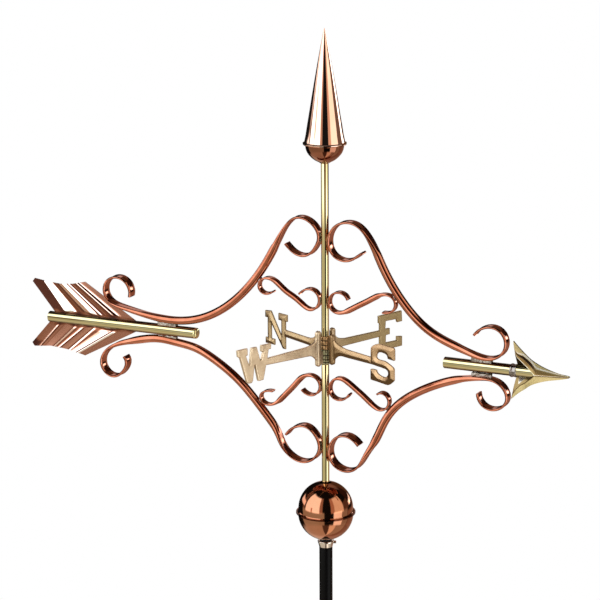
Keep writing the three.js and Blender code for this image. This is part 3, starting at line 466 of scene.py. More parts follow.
# ------------------------------------------------------------------ mesh helpers
def link(name, mesh):
    piece = bpy.data.objects.new(name, mesh)
    bpy.context.scene.collection.objects.link(piece)
    return piece


def solid(verts, faces):
    """An object from points in mm about the arrow axis."""
    verts = np.asarray(verts, float).copy()
    verts[:, 2] += AXIS_HEIGHT
    mesh = bpy.data.meshes.new("part")
    mesh.from_pydata((verts * MM).tolist(), [], [list(map(int, face)) for face in faces])
    bm = bmesh.new()
    bm.from_mesh(mesh)
    bmesh.ops.recalc_face_normals(bm, faces=bm.faces)
    bm.to_mesh(mesh)
    bm.free()
    return link("part", mesh)


def finish(piece, node, mat, body="vane", angle=32):
    """Names and shades a piece and puts it in the place of its CAD node."""
    piece.name = piece.data.name = node + "_fine"
    piece.data.materials.clear()
    piece.data.materials.append(mat)
    piece.data.shade_smooth()
    piece.data.set_sharp_from_angle(angle=math.radians(angle))
    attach(piece, body)
    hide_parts(node)


def apply_modifiers(piece):
    graph = bpy.context.evaluated_depsgraph_get()
    mesh = bpy.data.meshes.new_from_object(piece.evaluated_get(graph))
    piece.modifiers.clear()
    old = piece.data
    piece.data = mesh
    bpy.data.meshes.remove(old)
    return piece


def cut(piece, cutter):
    boolean = piece.modifiers.new("cut", "BOOLEAN")
    boolean.operation = "DIFFERENCE"
    boolean.solver = "EXACT"
    boolean.object = cutter
    apply_modifiers(piece)
    bpy.data.objects.remove(cutter)
    return piece


def remesh(piece, voxel, smoothing):
    grid = piece.modifiers.new("remesh", "REMESH")
    grid.mode = "VOXEL"
    grid.voxel_size = voxel * MM
    grid.use_smooth_shade = True
    smooth = piece.modifiers.new("smooth", "SMOOTH")
    smooth.iterations = smoothing
    smooth.factor = 0.5
    return apply_modifiers(piece)


def join(pieces):
    bm = bmesh.new()
    for piece in pieces:
        bm.from_mesh(piece.data)
        bpy.data.objects.remove(piece)
    mesh = bpy.data.meshes.new("joined")
    bm.to_mesh(mesh)
    bm.free()
    return link("joined", mesh)


def read_points(mesh):
    return np.array([v.co for v in mesh.vertices], float)


def write_points(mesh, points):
    mesh.vertices.foreach_set("co", points.astype(np.float32).ravel())


def spline(points, step):
    """Natural cubic spline resampled by arc length: points, distances along it, length."""
    points = np.asarray(points, float)
    knots = np.r_[0, np.cumsum(np.linalg.norm(np.diff(points, axis=0), axis=1))]
    n = len(points)
    gap = np.diff(knots)
    system = np.zeros((n, n))
    right = np.zeros_like(points)
    system[0, 0] = system[-1, -1] = 1
    for i in range(1, n - 1):
        system[i, i - 1:i + 2] = gap[i - 1], 2 * (gap[i - 1] + gap[i]), gap[i]
        right[i] = 6 * ((points[i + 1] - points[i]) / gap[i]
                        - (points[i] - points[i - 1]) / gap[i - 1])
    bend = np.linalg.solve(system, right)
    length = knots[-1]
    t = np.linspace(0, length, max(2, int(round(length / step))) + 1)
    i = np.clip(np.searchsorted(knots, t) - 1, 0, n - 2)
    after, before, h = (knots[i + 1] - t)[:, None], (t - knots[i])[:, None], gap[i][:, None]
    curve = ((bend[i] * after ** 3 + bend[i + 1] * before ** 3) / (6 * h)
             + (points[i] / h - bend[i] * h / 6) * after
             + (points[i + 1] / h - bend[i + 1] * h / 6) * before)
    return curve, t, length


def smooth01(x):
    x = np.clip(x, 0, 1)
    return x * x * (3 - 2 * x)


def revolve(profile, segments):
    """Closed profile of (radius, z) turned about Z. Points on the axis are shared."""
    verts, faces, rings = [], [], []
    for r, z in profile:
        if r < 1e-6:
            rings.append([len(verts)] * segments)
            verts.append((0, 0, z))
        else:
            rings.append(list(range(len(verts), len(verts) + segments)))
            for j in range(segments):
                a = 2 * math.pi * j / segments
                verts.append((r * math.cos(a), r * math.sin(a), z))
    for i in range(len(profile)):
        following = (i + 1) % len(profile)
        if profile[i][0] < 1e-6 and profile[following][0] < 1e-6:
            continue
        a, b = rings[i], rings[following]
        for j in range(segments):
            k = (j + 1) % segments
            face = list(dict.fromkeys((a[j], a[k], b[k], b[j])))
            if len(face) >= 3:
                faces.append(face)
    return np.array(verts, float), faces


def rounded(profile, radius):
    """Rounds the corners of a closed profile, leaving points on the axis and on straights."""
    corners = [np.array(p, float) for p in profile]
    out = []
    for i, p in enumerate(corners):
        to_a, to_b = corners[i - 1] - p, corners[(i + 1) % len(corners)] - p
        len_a, len_b = np.linalg.norm(to_a), np.linalg.norm(to_b)
        if p[0] < 1e-6 or np.dot(to_a, to_b) / (len_a * len_b) < -0.97:
            out.append(tuple(p))
            continue
        reach = min(radius, len_a * 0.45, len_b * 0.45)
        start, end = p + to_a / len_a * reach, p + to_b / len_b * reach
        for k in range(4):
            t = k / 3
            out.append(tuple((1 - t) ** 2 * start + 2 * t * (1 - t) * p + t * t * end))
    return out


def along_x(verts):
    """Lays an upright piece down, its +Z towards +X."""
    return np.c_[verts[:, 2], verts[:, 1], -verts[:, 0]]


def turned(node, profile, mat, body="vane", segments=96, lying=False, shift=0.0,
           angle=32):
    verts, faces = revolve(profile, segments)
    if lying:
        verts = along_x(verts) + (shift, 0, 0)
    finish(solid(verts, faces), node, mat, body, angle)


def tube(radius, thickness, start, end, rounding):
    inner = radius - thickness
    return rounded([(inner, start), (radius, start), (radius, end), (inner, end)], rounding)


def rod(radius, start, end, z, yaw, sides, rounding=0.4):
    """A lying cylinder from start to end along the direction yaw."""
    profile = rounded([(0, start), (radius, start), (radius, end), (0, end)], rounding)
    verts, faces = revolve(profile, sides)
    verts = along_x(verts)
    c, s = math.cos(yaw), math.sin(yaw)
    x, y = verts[:, 0], verts[:, 1]
    return solid(np.c_[x * c - y * s, x * s + y * c, verts[:, 2] + z], faces)


def sheet(middle, side, half_thickness, painted_light_tones):
    """Sheet metal from a grid of points on its middle surface, facing side * Y."""
    n, m = middle.shape[:2]
    normal = np.cross(np.gradient(middle, axis=0), np.gradient(middle, axis=1))
    normal /= np.maximum(np.linalg.norm(normal, axis=2), 1e-9)[:, :, None]
    normal[normal[:, :, 1] * side < 0] *= -1
    offset = normal * half_thickness
    q = n * m
    faces = []
    for i in range(n - 1):
        for j in range(m - 1):
            a = i * m + j
            faces.append((a, a + m, a + m + 1, a + 1))
            faces.append((q + a, q + a + 1, q + a + m + 1, q + a + m))
    rim = ([i * m for i in range(n)] + [(n - 1) * m + j for j in range(1, m)]
           + [i * m + m - 1 for i in range(n - 2, -1, -1)] + list(range(m - 2, 0, -1)))
    for a, b in zip(rim, rim[1:] + rim[:1]):
        faces.append((a, b, q + b, q + a))
    piece = solid(np.vstack([(middle + offset).reshape(-1, 3),
                             (middle - offset).reshape(-1, 3)]), faces)
    # the tone attribute carries painted light: painted highlights and painted shade
    tone = piece.data.attributes.new("tone", "FLOAT", "POINT")
    tone.data.foreach_set("value", np.r_[painted_light_tones, painted_light_tones].astype(np.float32))
    return piece


# ------------------------------------------------------------------ scrolls
SCROLL_PATHS = {    # x, z of the centre line
    "scroll_upper_tail": table(
        2, -365.4,53.1, -364.51,59.68, -365.43,66.36, -368.1,72.62, -372.74,78.31,
        -378.88,82.44, -385.96,84.6, -393.36,84.63, -400.28,82.63, -406.22,78.9,
        -410.87,73.7, -413.84,67.41, -414.84,60.51, -413.8,53.59, -410.85,47.25,
        -406.24,41.96, -400.26,37.93, -393.37,35.06, -385.23,32.73, -370.79,29.46,
        -353.53,25.87, -336.17,22.66, -318.51,20.08, -300.61,18.5, -282.65,18.26,
        -264.85,19.65, -247.4,22.8, -230.44,27.77, -214.08,34.48, -198.41,42.81,
        -183.49,52.58, -169.36,63.59, -156.05,75.62, -143.57,88.47, -131.92,101.99,
        -121.11,116.07, -111.12,130.67, -101.87,145.74, -93.16,161.2, -84.61,176.88,
        -75.6,192.44, -68.18,203.39, -63.39,209.14, -58.56,213.69, -53.1,217.2,
        -46.95,219.19, -40.23,219.44, -33.36,218.02, -26.69,215.13, -19.89,210.3,
        -15.31,205.45, -11.95,200.33, -9.73,194.79, -8.96,189.04, -9.77,183.22,
        -11.87,177.45, -14.86,171.8, -18.85,166.07, -23.57,161.19, -29.1,157.67,
        -35.37,155.82, -42.05,155.75, -48.73,157.37, -55.23,160.59, -61.81,165.7,
        -68.8,172.8),
    "scroll_upper_head": table(
        2, 68.8,169.1, 61.71,163.89, 54.44,158.76, 46.38,155.2, 37.81,153.96, 29.69,155.1,
        22.5,158.26, 16.56,163.17, 12.31,169.49, 9.93,176.78, 9.38,184.68, 10.88,193.56,
        14.98,202.58, 21.5,210.05, 29.98,215.33, 39.53,218.01, 49.17,217.93, 58.14,215.22,
        66.09,210.23, 73.38,203.03, 81.75,191.15, 90.37,175.16, 98.11,159.1, 105.89,143.51,
        114.35,128.39, 123.8,113.62, 134.28,99.19, 145.69,85.28, 157.98,72.22, 171.17,60.43,
        185.35,50.25, 200.53,41.79, 216.6,34.78, 233.34,28.59, 250.45,22.79, 267.68,17.72,
        281.2,15.31, 291.53,15.38, 300.05,17.33, 306.99,20.7, 312.7,25.42, 316.93,31.49,
        319.26,38.54, 319.45,46.03, 317.59,53.11, 313.92,59.28, 308.72,64.1, 302.39,67.21,
        295.38,68.48, 288.1,67.96, 280.42,65.53, 272.55,60.62, 266.0,53.3),
    "scroll_lower_tail": table(
        2, -378.5,-55.29, -375.96,-59.0, -374.74,-62.96, -374.62,-66.97, -375.4,-70.91,
        -376.9,-74.72, -379.03,-78.43, -382.01,-82.32, -386.23,-86.44, -391.09,-89.73,
        -396.4,-91.77, -402.0,-92.31, -407.61,-91.24, -412.89,-88.64, -417.43,-84.76,
        -421.01,-79.7, -423.18,-73.56, -423.5,-67.17, -422.12,-60.91, -419.31,-55.04,
        -415.15,-49.47, -408.93,-43.73, -399.39,-37.8, -384.95,-32.08, -367.8,-27.32,
        -350.47,-23.02, -333.1,-19.32, -315.61,-17.28, -297.94,-17.66, -280.13,-19.8,
        -262.47,-22.08, -245.28,-25.4, -228.7,-31.28, -212.65,-39.17, -197.1,-48.12,
        -182.13,-57.78, -167.9,-68.2, -154.49,-79.58, -141.83,-91.93, -129.66,-104.99,
        -117.74,-118.37, -106.08,-131.86, -95.17,-145.68, -86.27,-160.57, -80.05,-174.0,
        -71.59,-185.63, -62.32,-193.36, -53.52,-197.97, -44.43,-200.32, -35.14,-200.15,
        -26.26,-197.3, -19.13,-192.59, -13.96,-186.91, -10.42,-180.37, -8.77,-173.27,
        -9.17,-165.99, -11.54,-158.88, -15.48,-152.17, -20.0,-146.65, -24.96,-142.28,
        -30.52,-139.19, -36.64,-137.68, -43.2,-137.89, -49.86,-139.72, -56.25,-142.85,
        -62.89,-147.93, -69.7,-156.1),
    "scroll_lower_head": table(
        2, 62.9,-158.9, 56.77,-152.72, 50.33,-148.45, 43.54,-145.92, 36.58,-145.3,
        29.84,-146.64, 23.65,-149.8, 18.26,-154.53, 13.64,-161.1, 10.47,-169.5, 9.67,-178.01,
        11.2,-186.25, 14.99,-193.67, 20.83,-199.77, 28.31,-204.1, 36.52,-206.24,
        44.62,-206.14, 52.17,-203.86, 58.71,-199.61, 64.12,-193.8, 69.02,-186.26,
        76.18,-173.31, 85.23,-158.22, 93.7,-142.8, 101.2,-126.54, 109.24,-110.54,
        118.94,-95.75, 130.6,-82.54, 143.96,-70.93, 158.57,-60.72, 173.97,-51.69,
        189.87,-43.67, 206.09,-36.58, 222.63,-30.44, 239.57,-25.42, 257.03,-21.71,
        274.78,-19.29, 287.53,-18.45, 296.94,-19.17, 305.82,-22.01, 312.89,-26.62,
        317.65,-31.68, 320.73,-36.82, 322.5,-42.17, 322.88,-47.59, 321.79,-52.81,
        319.3,-57.58, 315.55,-61.66, 310.77,-64.91, 304.77,-67.28, 297.73,-68.27,
        290.87,-67.42, 284.63,-64.74, 279.4,-60.39, 275.97,-55.57, 273.77,-50.27,
        272.9,-44.7),
    "small_scroll_upper_tail": table(
        2, -45.1,89.8, -39.53,94.92, -34.12,97.94, -28.77,99.29, -23.61,99.15, -18.87,97.65,
        -14.81,94.93, -11.68,91.16, -9.75,86.61, -9.19,81.58, -10.13,76.35, -12.49,71.56,
        -15.55,68.12, -18.98,65.84, -22.73,64.59, -26.64,64.41, -30.56,65.24, -34.82,67.17,
        -40.98,71.42, -54.92,81.39, -69.79,89.93, -83.63,100.83, -91.92,106.89,
        -97.81,109.53, -103.17,110.49, -108.12,110.06, -112.32,108.52, -115.59,106.23,
        -118.05,103.27, -119.56,99.8, -119.96,96.06, -119.21,92.33, -117.37,88.95,
        -114.59,86.2, -111.09,84.35, -107.11,83.56, -102.88,83.91, -98.49,85.45,
        -94.01,88.19),
    "small_scroll_upper_head": table(
        2, 42.1,88.1, 40.08,92.06, 37.07,95.18, 33.29,97.35, 28.81,98.5, 23.7,98.39,
        18.61,96.79, 14.34,93.93, 11.12,90.01, 9.17,85.3, 8.67,80.18, 9.65,75.11,
        11.83,70.84, 14.97,67.47, 18.89,65.16, 23.32,64.01, 28.26,64.03, 34.29,65.45,
        44.4,70.16, 59.57,78.99, 74.93,87.53, 90.28,96.63, 101.16,101.58, 108.39,103.05,
        113.63,102.91, 117.7,101.85, 121.09,100.01, 123.85,97.36, 125.79,93.97,
        126.77,90.05, 126.66,85.67, 125.38,81.59, 123.05,78.11, 119.82,75.47, 115.92,73.8,
        111.28,73.0, 105.21,72.79),
    "small_scroll_lower_tail": table(
        2, -41.0,-75.3, -37.83,-78.23, -33.44,-80.79, -28.42,-82.41, -23.88,-82.72,
        -19.51,-81.82, -15.51,-79.7, -12.1,-76.42, -9.54,-72.05, -8.36,-67.45, -8.5,-62.9,
        -9.91,-58.63, -12.45,-54.95, -16.0,-52.01, -20.54,-49.96, -25.99,-49.09,
        -32.17,-49.77, -38.78,-52.38, -45.49,-57.32, -54.35,-67.28, -66.22,-80.46,
        -78.26,-93.27, -88.07,-102.67, -94.84,-106.83, -100.32,-108.65, -105.02,-109.04,
        -109.22,-108.31, -112.86,-106.61, -115.8,-104.06, -117.88,-100.81, -118.81,-97.19,
        -118.35,-93.6, -116.47,-90.39, -113.34,-87.83, -109.45,-86.03, -103.81,-84.67,
        -96.31,-84.6),
    "small_scroll_lower_head": table(
        2, 45.1,-73.6, 40.91,-78.9, 35.87,-82.61, 30.6,-84.6, 25.46,-85.05, 20.64,-84.12,
        16.35,-81.94, 12.85,-78.63, 10.39,-74.41, 9.16,-69.5, 9.36,-64.06, 11.18,-58.55,
        14.19,-54.15, 17.85,-51.06, 22.03,-49.16, 26.49,-48.5, 31.0,-49.05, 35.86,-50.83,
        43.52,-55.35, 57.98,-65.67, 71.64,-75.93, 84.95,-86.79, 91.77,-91.23, 96.34,-93.11,
        100.49,-93.8, 104.56,-93.41, 108.38,-91.92, 111.7,-89.37, 114.26,-85.89,
        115.81,-81.65, 116.08,-77.22, 115.16,-73.12, 113.24,-69.62, 110.45,-66.83,
        106.98,-64.99, 103.13,-64.28, 99.3,-64.84, 96.0,-66.69),
}
# widths, lengths left flat and lengths of the change to round, each at path start and end
SCROLL_ENDS = {
    "scroll_upper_tail": ((21.5, 19.5), (95, 165), (120, 55)),
    "scroll_upper_head": ((20.5, 20), (165, 95), (50, 90)),
    "scroll_lower_tail": ((21.5, 20.5), (95, 165), (90, 60)),
    "scroll_lower_head": ((23.5, 20.5), (150, 110), (60, 80)),
}
SMALL_SCROLL_ENDS = ((15, 14.5), (60, 50), (35, 25))
SCROLL_DIAMETER, SMALL_SCROLL_DIAMETER = 14, 10
FLAT_THICKNESS, SMALL_FLAT_THICKNESS = 4.8, 3.8


class ScrollCourse:
    """A scroll's centre line with its direction, roundness and half width at each point."""

    def __init__(self, node, step):
        small = node.startswith("small")
        self.diameter = SMALL_SCROLL_DIAMETER if small else SCROLL_DIAMETER
        self.flat = SMALL_FLAT_THICKNESS if small else FLAT_THICKNESS
        widths, flats, blends = SMALL_SCROLL_ENDS if small else SCROLL_ENDS[node]
        self.path, self.along, self.length = spline(SCROLL_PATHS[node], step)
        slope = np.gradient(self.path, axis=0)
        self.direction = slope / np.linalg.norm(slope, axis=1)[:, None]
        self.roundness = np.minimum(
            smooth01((self.along - flats[0]) / blends[0]),
            smooth01((self.length - self.along - flats[1]) / blends[1]))
        width = np.where(self.along < self.length / 2, *widths)
        self.half_width = (width + (self.diameter - width) * self.roundness) / 2

    def ring(self, i, u, v, ahead=0.0):
        """Section points: u is along Y, v square to the path, ahead along the path."""
        (x, z), (dx, dz) = self.path[i], self.direction[i]
        return np.c_[x - dz * v + ahead * dx, u, z + dx * v + ahead * dz]


def ring_angles(count):
    a = 2 * np.pi * (np.arange(count) + 0.5) / count
    return np.cos(a), np.sin(a)


def loft(rings):
    """Joins rings of equal size into a closed body."""
    m = len(rings[0])
    faces = []
    for i in range(len(rings) - 1):
        for j in range(m):
            a, b = i * m + j, i * m + (j + 1) % m
            faces.append((a, b, b + m, a + m))
    faces.append(tuple(range(m))[::-1])
    faces.append(tuple((len(rings) - 1) * m + j for j in range(m)))
    return solid(np.vstack(rings), faces)


def scroll(node, seed):
    """Round bar with hammered flat ends, thicker near the edges of the flat."""
    course = ScrollCourse(node, 1.6)
    flatness = 1 - course.roundness
    random = np.random.default_rng(seed)

    def hammering(amount, wavelength):
        """Slow unevenness along the flat parts."""
        m = max(4, int(course.length / wavelength))
        blows = random.normal(0, amount, m + 3)
        x = course.along / course.length * m
        i = x.astype(int)
        f = smooth01(x - i)
        return (blows[i] * (1 - f) + blows[i + 1] * f) * flatness

    width = course.half_width + hammering(0.16, 22)
    thick = ((course.flat + (course.diameter - course.flat) * course.roundness) / 2
             + hammering(0.05, 16))
    dish = hammering(0.12, 14)
    c, s = ring_angles(56)
    rings = []
    for i in range(len(course.path)):
        u = np.sign(c) * np.abs(c) ** (1 - 0.18 * flatness[i])
        out = np.abs(u)
        round_height = np.sqrt(np.maximum(0, 1 - u ** 2))
        edge_swell = 0.42 + 0.66 * np.exp(-((out - 0.80) / 0.20) ** 2)
        flat_height = np.sqrt(np.maximum(0, 1 - out ** 5)) * edge_swell
        height = course.roundness[i] * round_height + flatness[i] * flat_height
        v = np.sign(s) * height * thick[i] + dish[i] * (1 - u ** 2)
        rings.append(course.ring(i, u * width[i], v))

    def cap(i, way):
        """Rounded end of two shrinking rings."""
        made = []
        for size, ahead in ((0.88, 0.55), (0.6, 0.9)):
            half = width[i] - (1 - size) * thick[i] * 1.6
            u = np.sign(c) * np.abs(c) ** 0.4 * half
            v = np.sign(s) * np.abs(s) ** 0.4 * thick[i] * size
            made.append(course.ring(i, u, v, way * ahead))
        return made

    rings = cap(0, -1)[::-1] + rings + cap(len(course.path) - 1, 1)
    finish(loft(rings), node, COPPER, angle=40)


def scroll_cutter(node, thickness, clearance):
    """The room a scroll takes, with ends of the given flat thickness."""
    course = ScrollCourse(node, 3.0)
    width = course.half_width + clearance
    thick = (thickness + (course.diameter - thickness) * course.roundness) / 2 + clearance
    c, s = ring_angles(20)
    rings = []
    for i in range(len(course.path)):
        power = 2 / (2 + 3.2 * (1 - course.roundness[i]))
        u = np.sign(c) * np.abs(c) ** power * width[i]
        v = np.sign(s) * np.abs(s) ** power * thick[i]
        rings.append(course.ring(i, u, v))
    return loft(rings)


for i, node in enumerate(SCROLL_PATHS):
    scroll(node, seed=11 + i)

# ------------------------------------------------------------------ tubes
turned("upper_spindle_tube", tube(SPINDLE_R, SPINDLE_WALL, 22.0, 326, 0.35),
       BRASS, segments=64)
turned("lower_spindle_tube", tube(SPINDLE_R, SPINDLE_WALL, -236.5, -27.2, 0.35),
       BRASS, segments=64)
turned("tail_tube", tube(ARROW_R, ARROW_WALL, *TAIL_TUBE_X, 0.5),
       BRASS_TAIL, segments=72, lying=True)
turned("head_tube", tube(ARROW_R, ARROW_WALL, *HEAD_TUBE_X, 0.5),
       BRASS_ROD, segments=72, lying=True)

# Profiles are (radius, distance along the axis).
CAP_PROFILE = [
    (0, -12), (8.0, -12), (8.0, 0.3), (ARROW_R - 0.1, 0.3), (9.42, 2.0), (9.1, 3.2),
    (8.3, 4.4), (7.0, 5.1), (5.0, 5.5), (0, 5.6)]
HEAD_COLLAR_PROFILE = [
    (9.6, 327.4), (10.7, 327.6), (11.3, 329.0), (11.1, 330.6), (10.5, 332.6), (10.5, 334.2),
    (11.0, 336.4), (10.8, 337.8), (10.0, 338.6), (9.6, 338.6)]
turned("tail_tube_cap", CAP_PROFILE, BRASS_SHEET, segments=72, lying=True,
       shift=TAIL_TUBE_X[1], angle=50)
turned("head_collar", HEAD_COLLAR_PROFILE, SOLDER_BAND, segments=72, lying=True)

# ------------------------------------------------------------------ finial, (radius, z)
CONE_OUTSIDE = [
    (36, 345.5), (36, 346.5), (34.6, 347.0), (33.4, 348.2), (32.75, 351.5), (31.0, 359.6),
    (29, 372.9), (26.85, 385.7), (24.6, 399.2), (20.4, 425), (15.9, 451.4), (11.3, 477.5),
    (8.95, 490.4), (6.5, 503.4), (3.85, 516.3), (2.2, 525), (1.0, 531.5), (0.75, 532.8),
    (0, 533.1)]
CONE_INSIDE = [
    (0, 522), (7.2, 492), (14.6, 453), (23.3, 400), (31.2, 352), (32.2, 346.6), (33.4, 345.5)]
BOWL_CURVE = [
    (9.9, 314.4), (18.2, 319), (23.8, 324), (27.9, 329), (30.3, 334), (31.5, 339),
    (31.9, 343.2)]
BOWL_FOOT = [(6.65, 312.4), (8.2, 313.2)]
BOWL_RIM = [(32.6, 343.75), (35.6, 343.95), (35.75, 344.5), (35.6, 345.1), (32.2, 344.95)]


def bowl_profile():
    outside = [tuple(p) for p in spline(BOWL_CURVE, 1.2)[0]]
    inside_wall = [(max(6.7, r - 0.95), z + 0.55) for r, z in outside[::-1]]
    return BOWL_FOOT + outside + BOWL_RIM + inside_wall + [(6.65, 313.7)]


turned("finial_cone", CONE_OUTSIDE + CONE_INSIDE, COPPER_CONE,
       segments=128, angle=28)
turned("finial_bowl", bowl_profile(), COPPER_BOWL, segments=128, angle=28)


# ------------------------------------------------------------------ globe
def dome(radius, centre_z, hole, way, steps):
    """Arc from the hole's edge to the widest point; way is 1 above the centre, -1 below."""
    start = math.asin(hole / radius)
    angles = [start + (math.pi / 2 - start) * i / steps for i in range(steps + 1)]
    return [(radius * math.sin(a), centre_z + way * radius * math.cos(a)) for a in angles]


def globe_half(node, radius, centre_z, hole, way, steps, rim):
    outside = dome(radius, centre_z, hole, way, steps)
    inside_wall = dome(radius - GLOBE_WALL, centre_z, hole, way, steps)[::-1]
    turned(node, outside + rim + inside_wall, COPPER_GLOBE, "mount",
           segments=128, angle=28)


UPPER_RIM = [
    (UPPER_GLOBE_R, -283.0), (UPPER_GLOBE_R + 0.5, -283.8), (UPPER_GLOBE_R + 1.5, -284.15),
    (49.9, -284.2), (50.2, -284.5), (50.2, -285.2), (49.9, -285.4),
    (UPPER_GLOBE_R - GLOBE_WALL, -285.4)]
LOWER_RIM = [
    (LOWER_GLOBE_R + 0.5, -286.8), (49.9, -286.85), (50.2, -286.6), (50.2, -285.9),
    (49.9, -285.7), (LOWER_GLOBE_R - GLOBE_WALL, -285.7)]
globe_half("globe_upper_half", UPPER_GLOBE_R, UPPER_GLOBE_Z, hole=10, way=1, steps=40,
           rim=UPPER_RIM)
globe_half("globe_lower_half", LOWER_GLOBE_R, LOWER_GLOBE_Z, hole=CENTRE_HOLE_R, way=-1,
           steps=44, rim=LOWER_RIM)

# ------------------------------------------------------------------ pole and its collar
WASHER_PROFILE = [
    (CENTRE_HOLE_R, -335.9), (10.2, -335.9), (10.2, -333.75), (CENTRE_HOLE_R, -333.75)]
POLE_PROFILE = [
    (0, -AXIS_HEIGHT), (11.2, -AXIS_HEIGHT), (11.2, -347.3), (8, -347.3), (8, -338.5),
    (CENTRE_HOLE_R, -338.5), (CENTRE_HOLE_R, -400), (0, -400)]
POLE_COLLAR_PROFILE = [
    (8.35, -347), (11.45, -347), (11.7, -345.6), (12.5, -342.6), (13.4, -339.9),
    (14, -338.4), (14, -336.7), (13.5, -336.2), (8.35, -336.2)]
turned("globe_washer", rounded(WASHER_PROFILE, 0.6), RUBBER, "mount",
       segments=64)
turned("mounting_pole", rounded(POLE_PROFILE, 0.7), POLE, "mount", segments=72)

collar = cut(solid(*revolve(rounded(POLE_COLLAR_PROFILE, 0.35), 96)),
             rod(2.9, 6, 20, COLLAR_SCREW_Z, COLLAR_SCREW_YAW, sides=40))
finish(collar, "pole_collar", NICKEL, "mount")
screw = cut(rod(2.5, 8.4, 17.4, COLLAR_SCREW_Z, COLLAR_SCREW_YAW, sides=32, rounding=0.5),
            rod(1.15, 15.2, 20, COLLAR_SCREW_Z, COLLAR_SCREW_YAW, sides=6, rounding=0.01))
finish(screw, "collar_set_screw", NICKEL, "mount")

# ------------------------------------------------------------------ tail feathers
# s runs along a feather's outer edge, 0 at the tail end and 1 towards the head.
# edge: s, x, z; ribs: s at the edge, s at the root; relief: s, height; painted_light_tones: s,
# tone
UPPER_FEATHER = dict(
    root_x=(-518.5, -357.5), root_z=ARROW_R + 0.3, dark_corner=False,
    edge=table(
        3, 0,-561.4,60.2, 0.045,-556.9,66.2, 0.2,-540.1,64.0, 0.33,-526,62.2,
        0.52,-506,61.1, 0.75,-482.1,62.9, 0.885,-468,66, 1,-456,69.1),
    ribs=table(
        2, 0,0, 0.24,0.154, 0.385,0.311, 0.515,0.431, 0.70,0.612, 0.88,0.808, 1,1),
    relief=table(
        2, 0,0, 0.205,0, 0.232,3.0, 0.245,3.1, 0.375,0.1, 0.39,0, 0.49,0, 0.515,1.4,
        0.565,1.5, 0.575,2.0, 0.645,0.5, 0.66,0.2, 0.685,0.7, 0.70,0.6, 0.72,0, 0.82,0,
        0.835,0.3, 0.85,0, 0.862,0.1, 0.885,0.9, 0.905,0.8, 0.92,0, 1,0),
    painted_light_tones=table(
        2, 0,.13, .215,.13, .225,.30, .232,.45, .24,1, .368,1, .378,.34, .40,.26, .42,.20,
        .435,.34, .455,.24, .48,.12, .49,.16, .503,.62, .52,.74, .54,.60, .555,.62, .57,.85,
        .58,1, .632,1, .642,.7, .652,.15, .668,.10, .677,.3, .682,1, .70,1, .705,.15,
        .725,.10, .74,.25, .752,.42, .765,.28, .79,.26, .80,.14, .820,.16, .829,.9, .84,.9,
        .847,.15, .852,0, .888,0, .896,.92, .905,.92, .914,.5, .94,.42, 1,.42))
LOWER_FEATHER = dict(
    root_x=(-529.5, -357.5), root_z=-(ARROW_R + 0.3), dark_corner=True,
    edge=table(
        3, 0,-566.3,-50.9, 0.045,-561.7,-57.0, 0.2,-545,-55.2, 0.35,-529,-53.2,
        0.5,-513,-53.8, 0.75,-486.2,-56.8, 1,-459.7,-63.5),
    ribs=table(
        2, 0,0, 0.15,0.121, 0.43,0.327, 0.515,0.415, 0.725,0.549, 0.755,0.658,
        0.828,0.759, 0.872,0.795, 1,1),
    relief=table(
        2, 0,0, 0.135,0, 0.15,0.8, 0.16,0.8, 0.175,0, 0.40,0, 0.42,1.2, 0.435,1.2,
        0.46,0.3, 0.50,0.8, 0.515,1.2, 0.53,1.0, 0.55,0.1, 0.69,0, 0.71,0.6, 0.74,0.9,
        0.81,1.9, 0.825,1.9, 0.84,1.2, 0.86,1.3, 0.885,0.1, 0.9,0, 1,0),
    painted_light_tones=table(
        2, 0,.34, .13,.36, .138,.7, .155,.85, .16,.16, .178,.18, .19,.36, .22,.38, .235,.3,
        .26,.45, .36,.47, .385,.42, .395,.16, .41,.16, .418,.75, .437,.85, .445,.35,
        .46,.18, .475,.25, .49,.42, .50,.7, .518,.95, .524,.22, .542,.20, .555,.42,
        .60,.48, .65,.54, .665,.42, .68,.18, .695,.2, .702,.95, .724,1, .731,.22,
        .742,.22, .75,.78, .768,.82, .776,1, .82,1, .828,.4, .834,.08, .847,.10, .853,.95,
        .88,1, .888,.4, .90,.42, 1,.42))


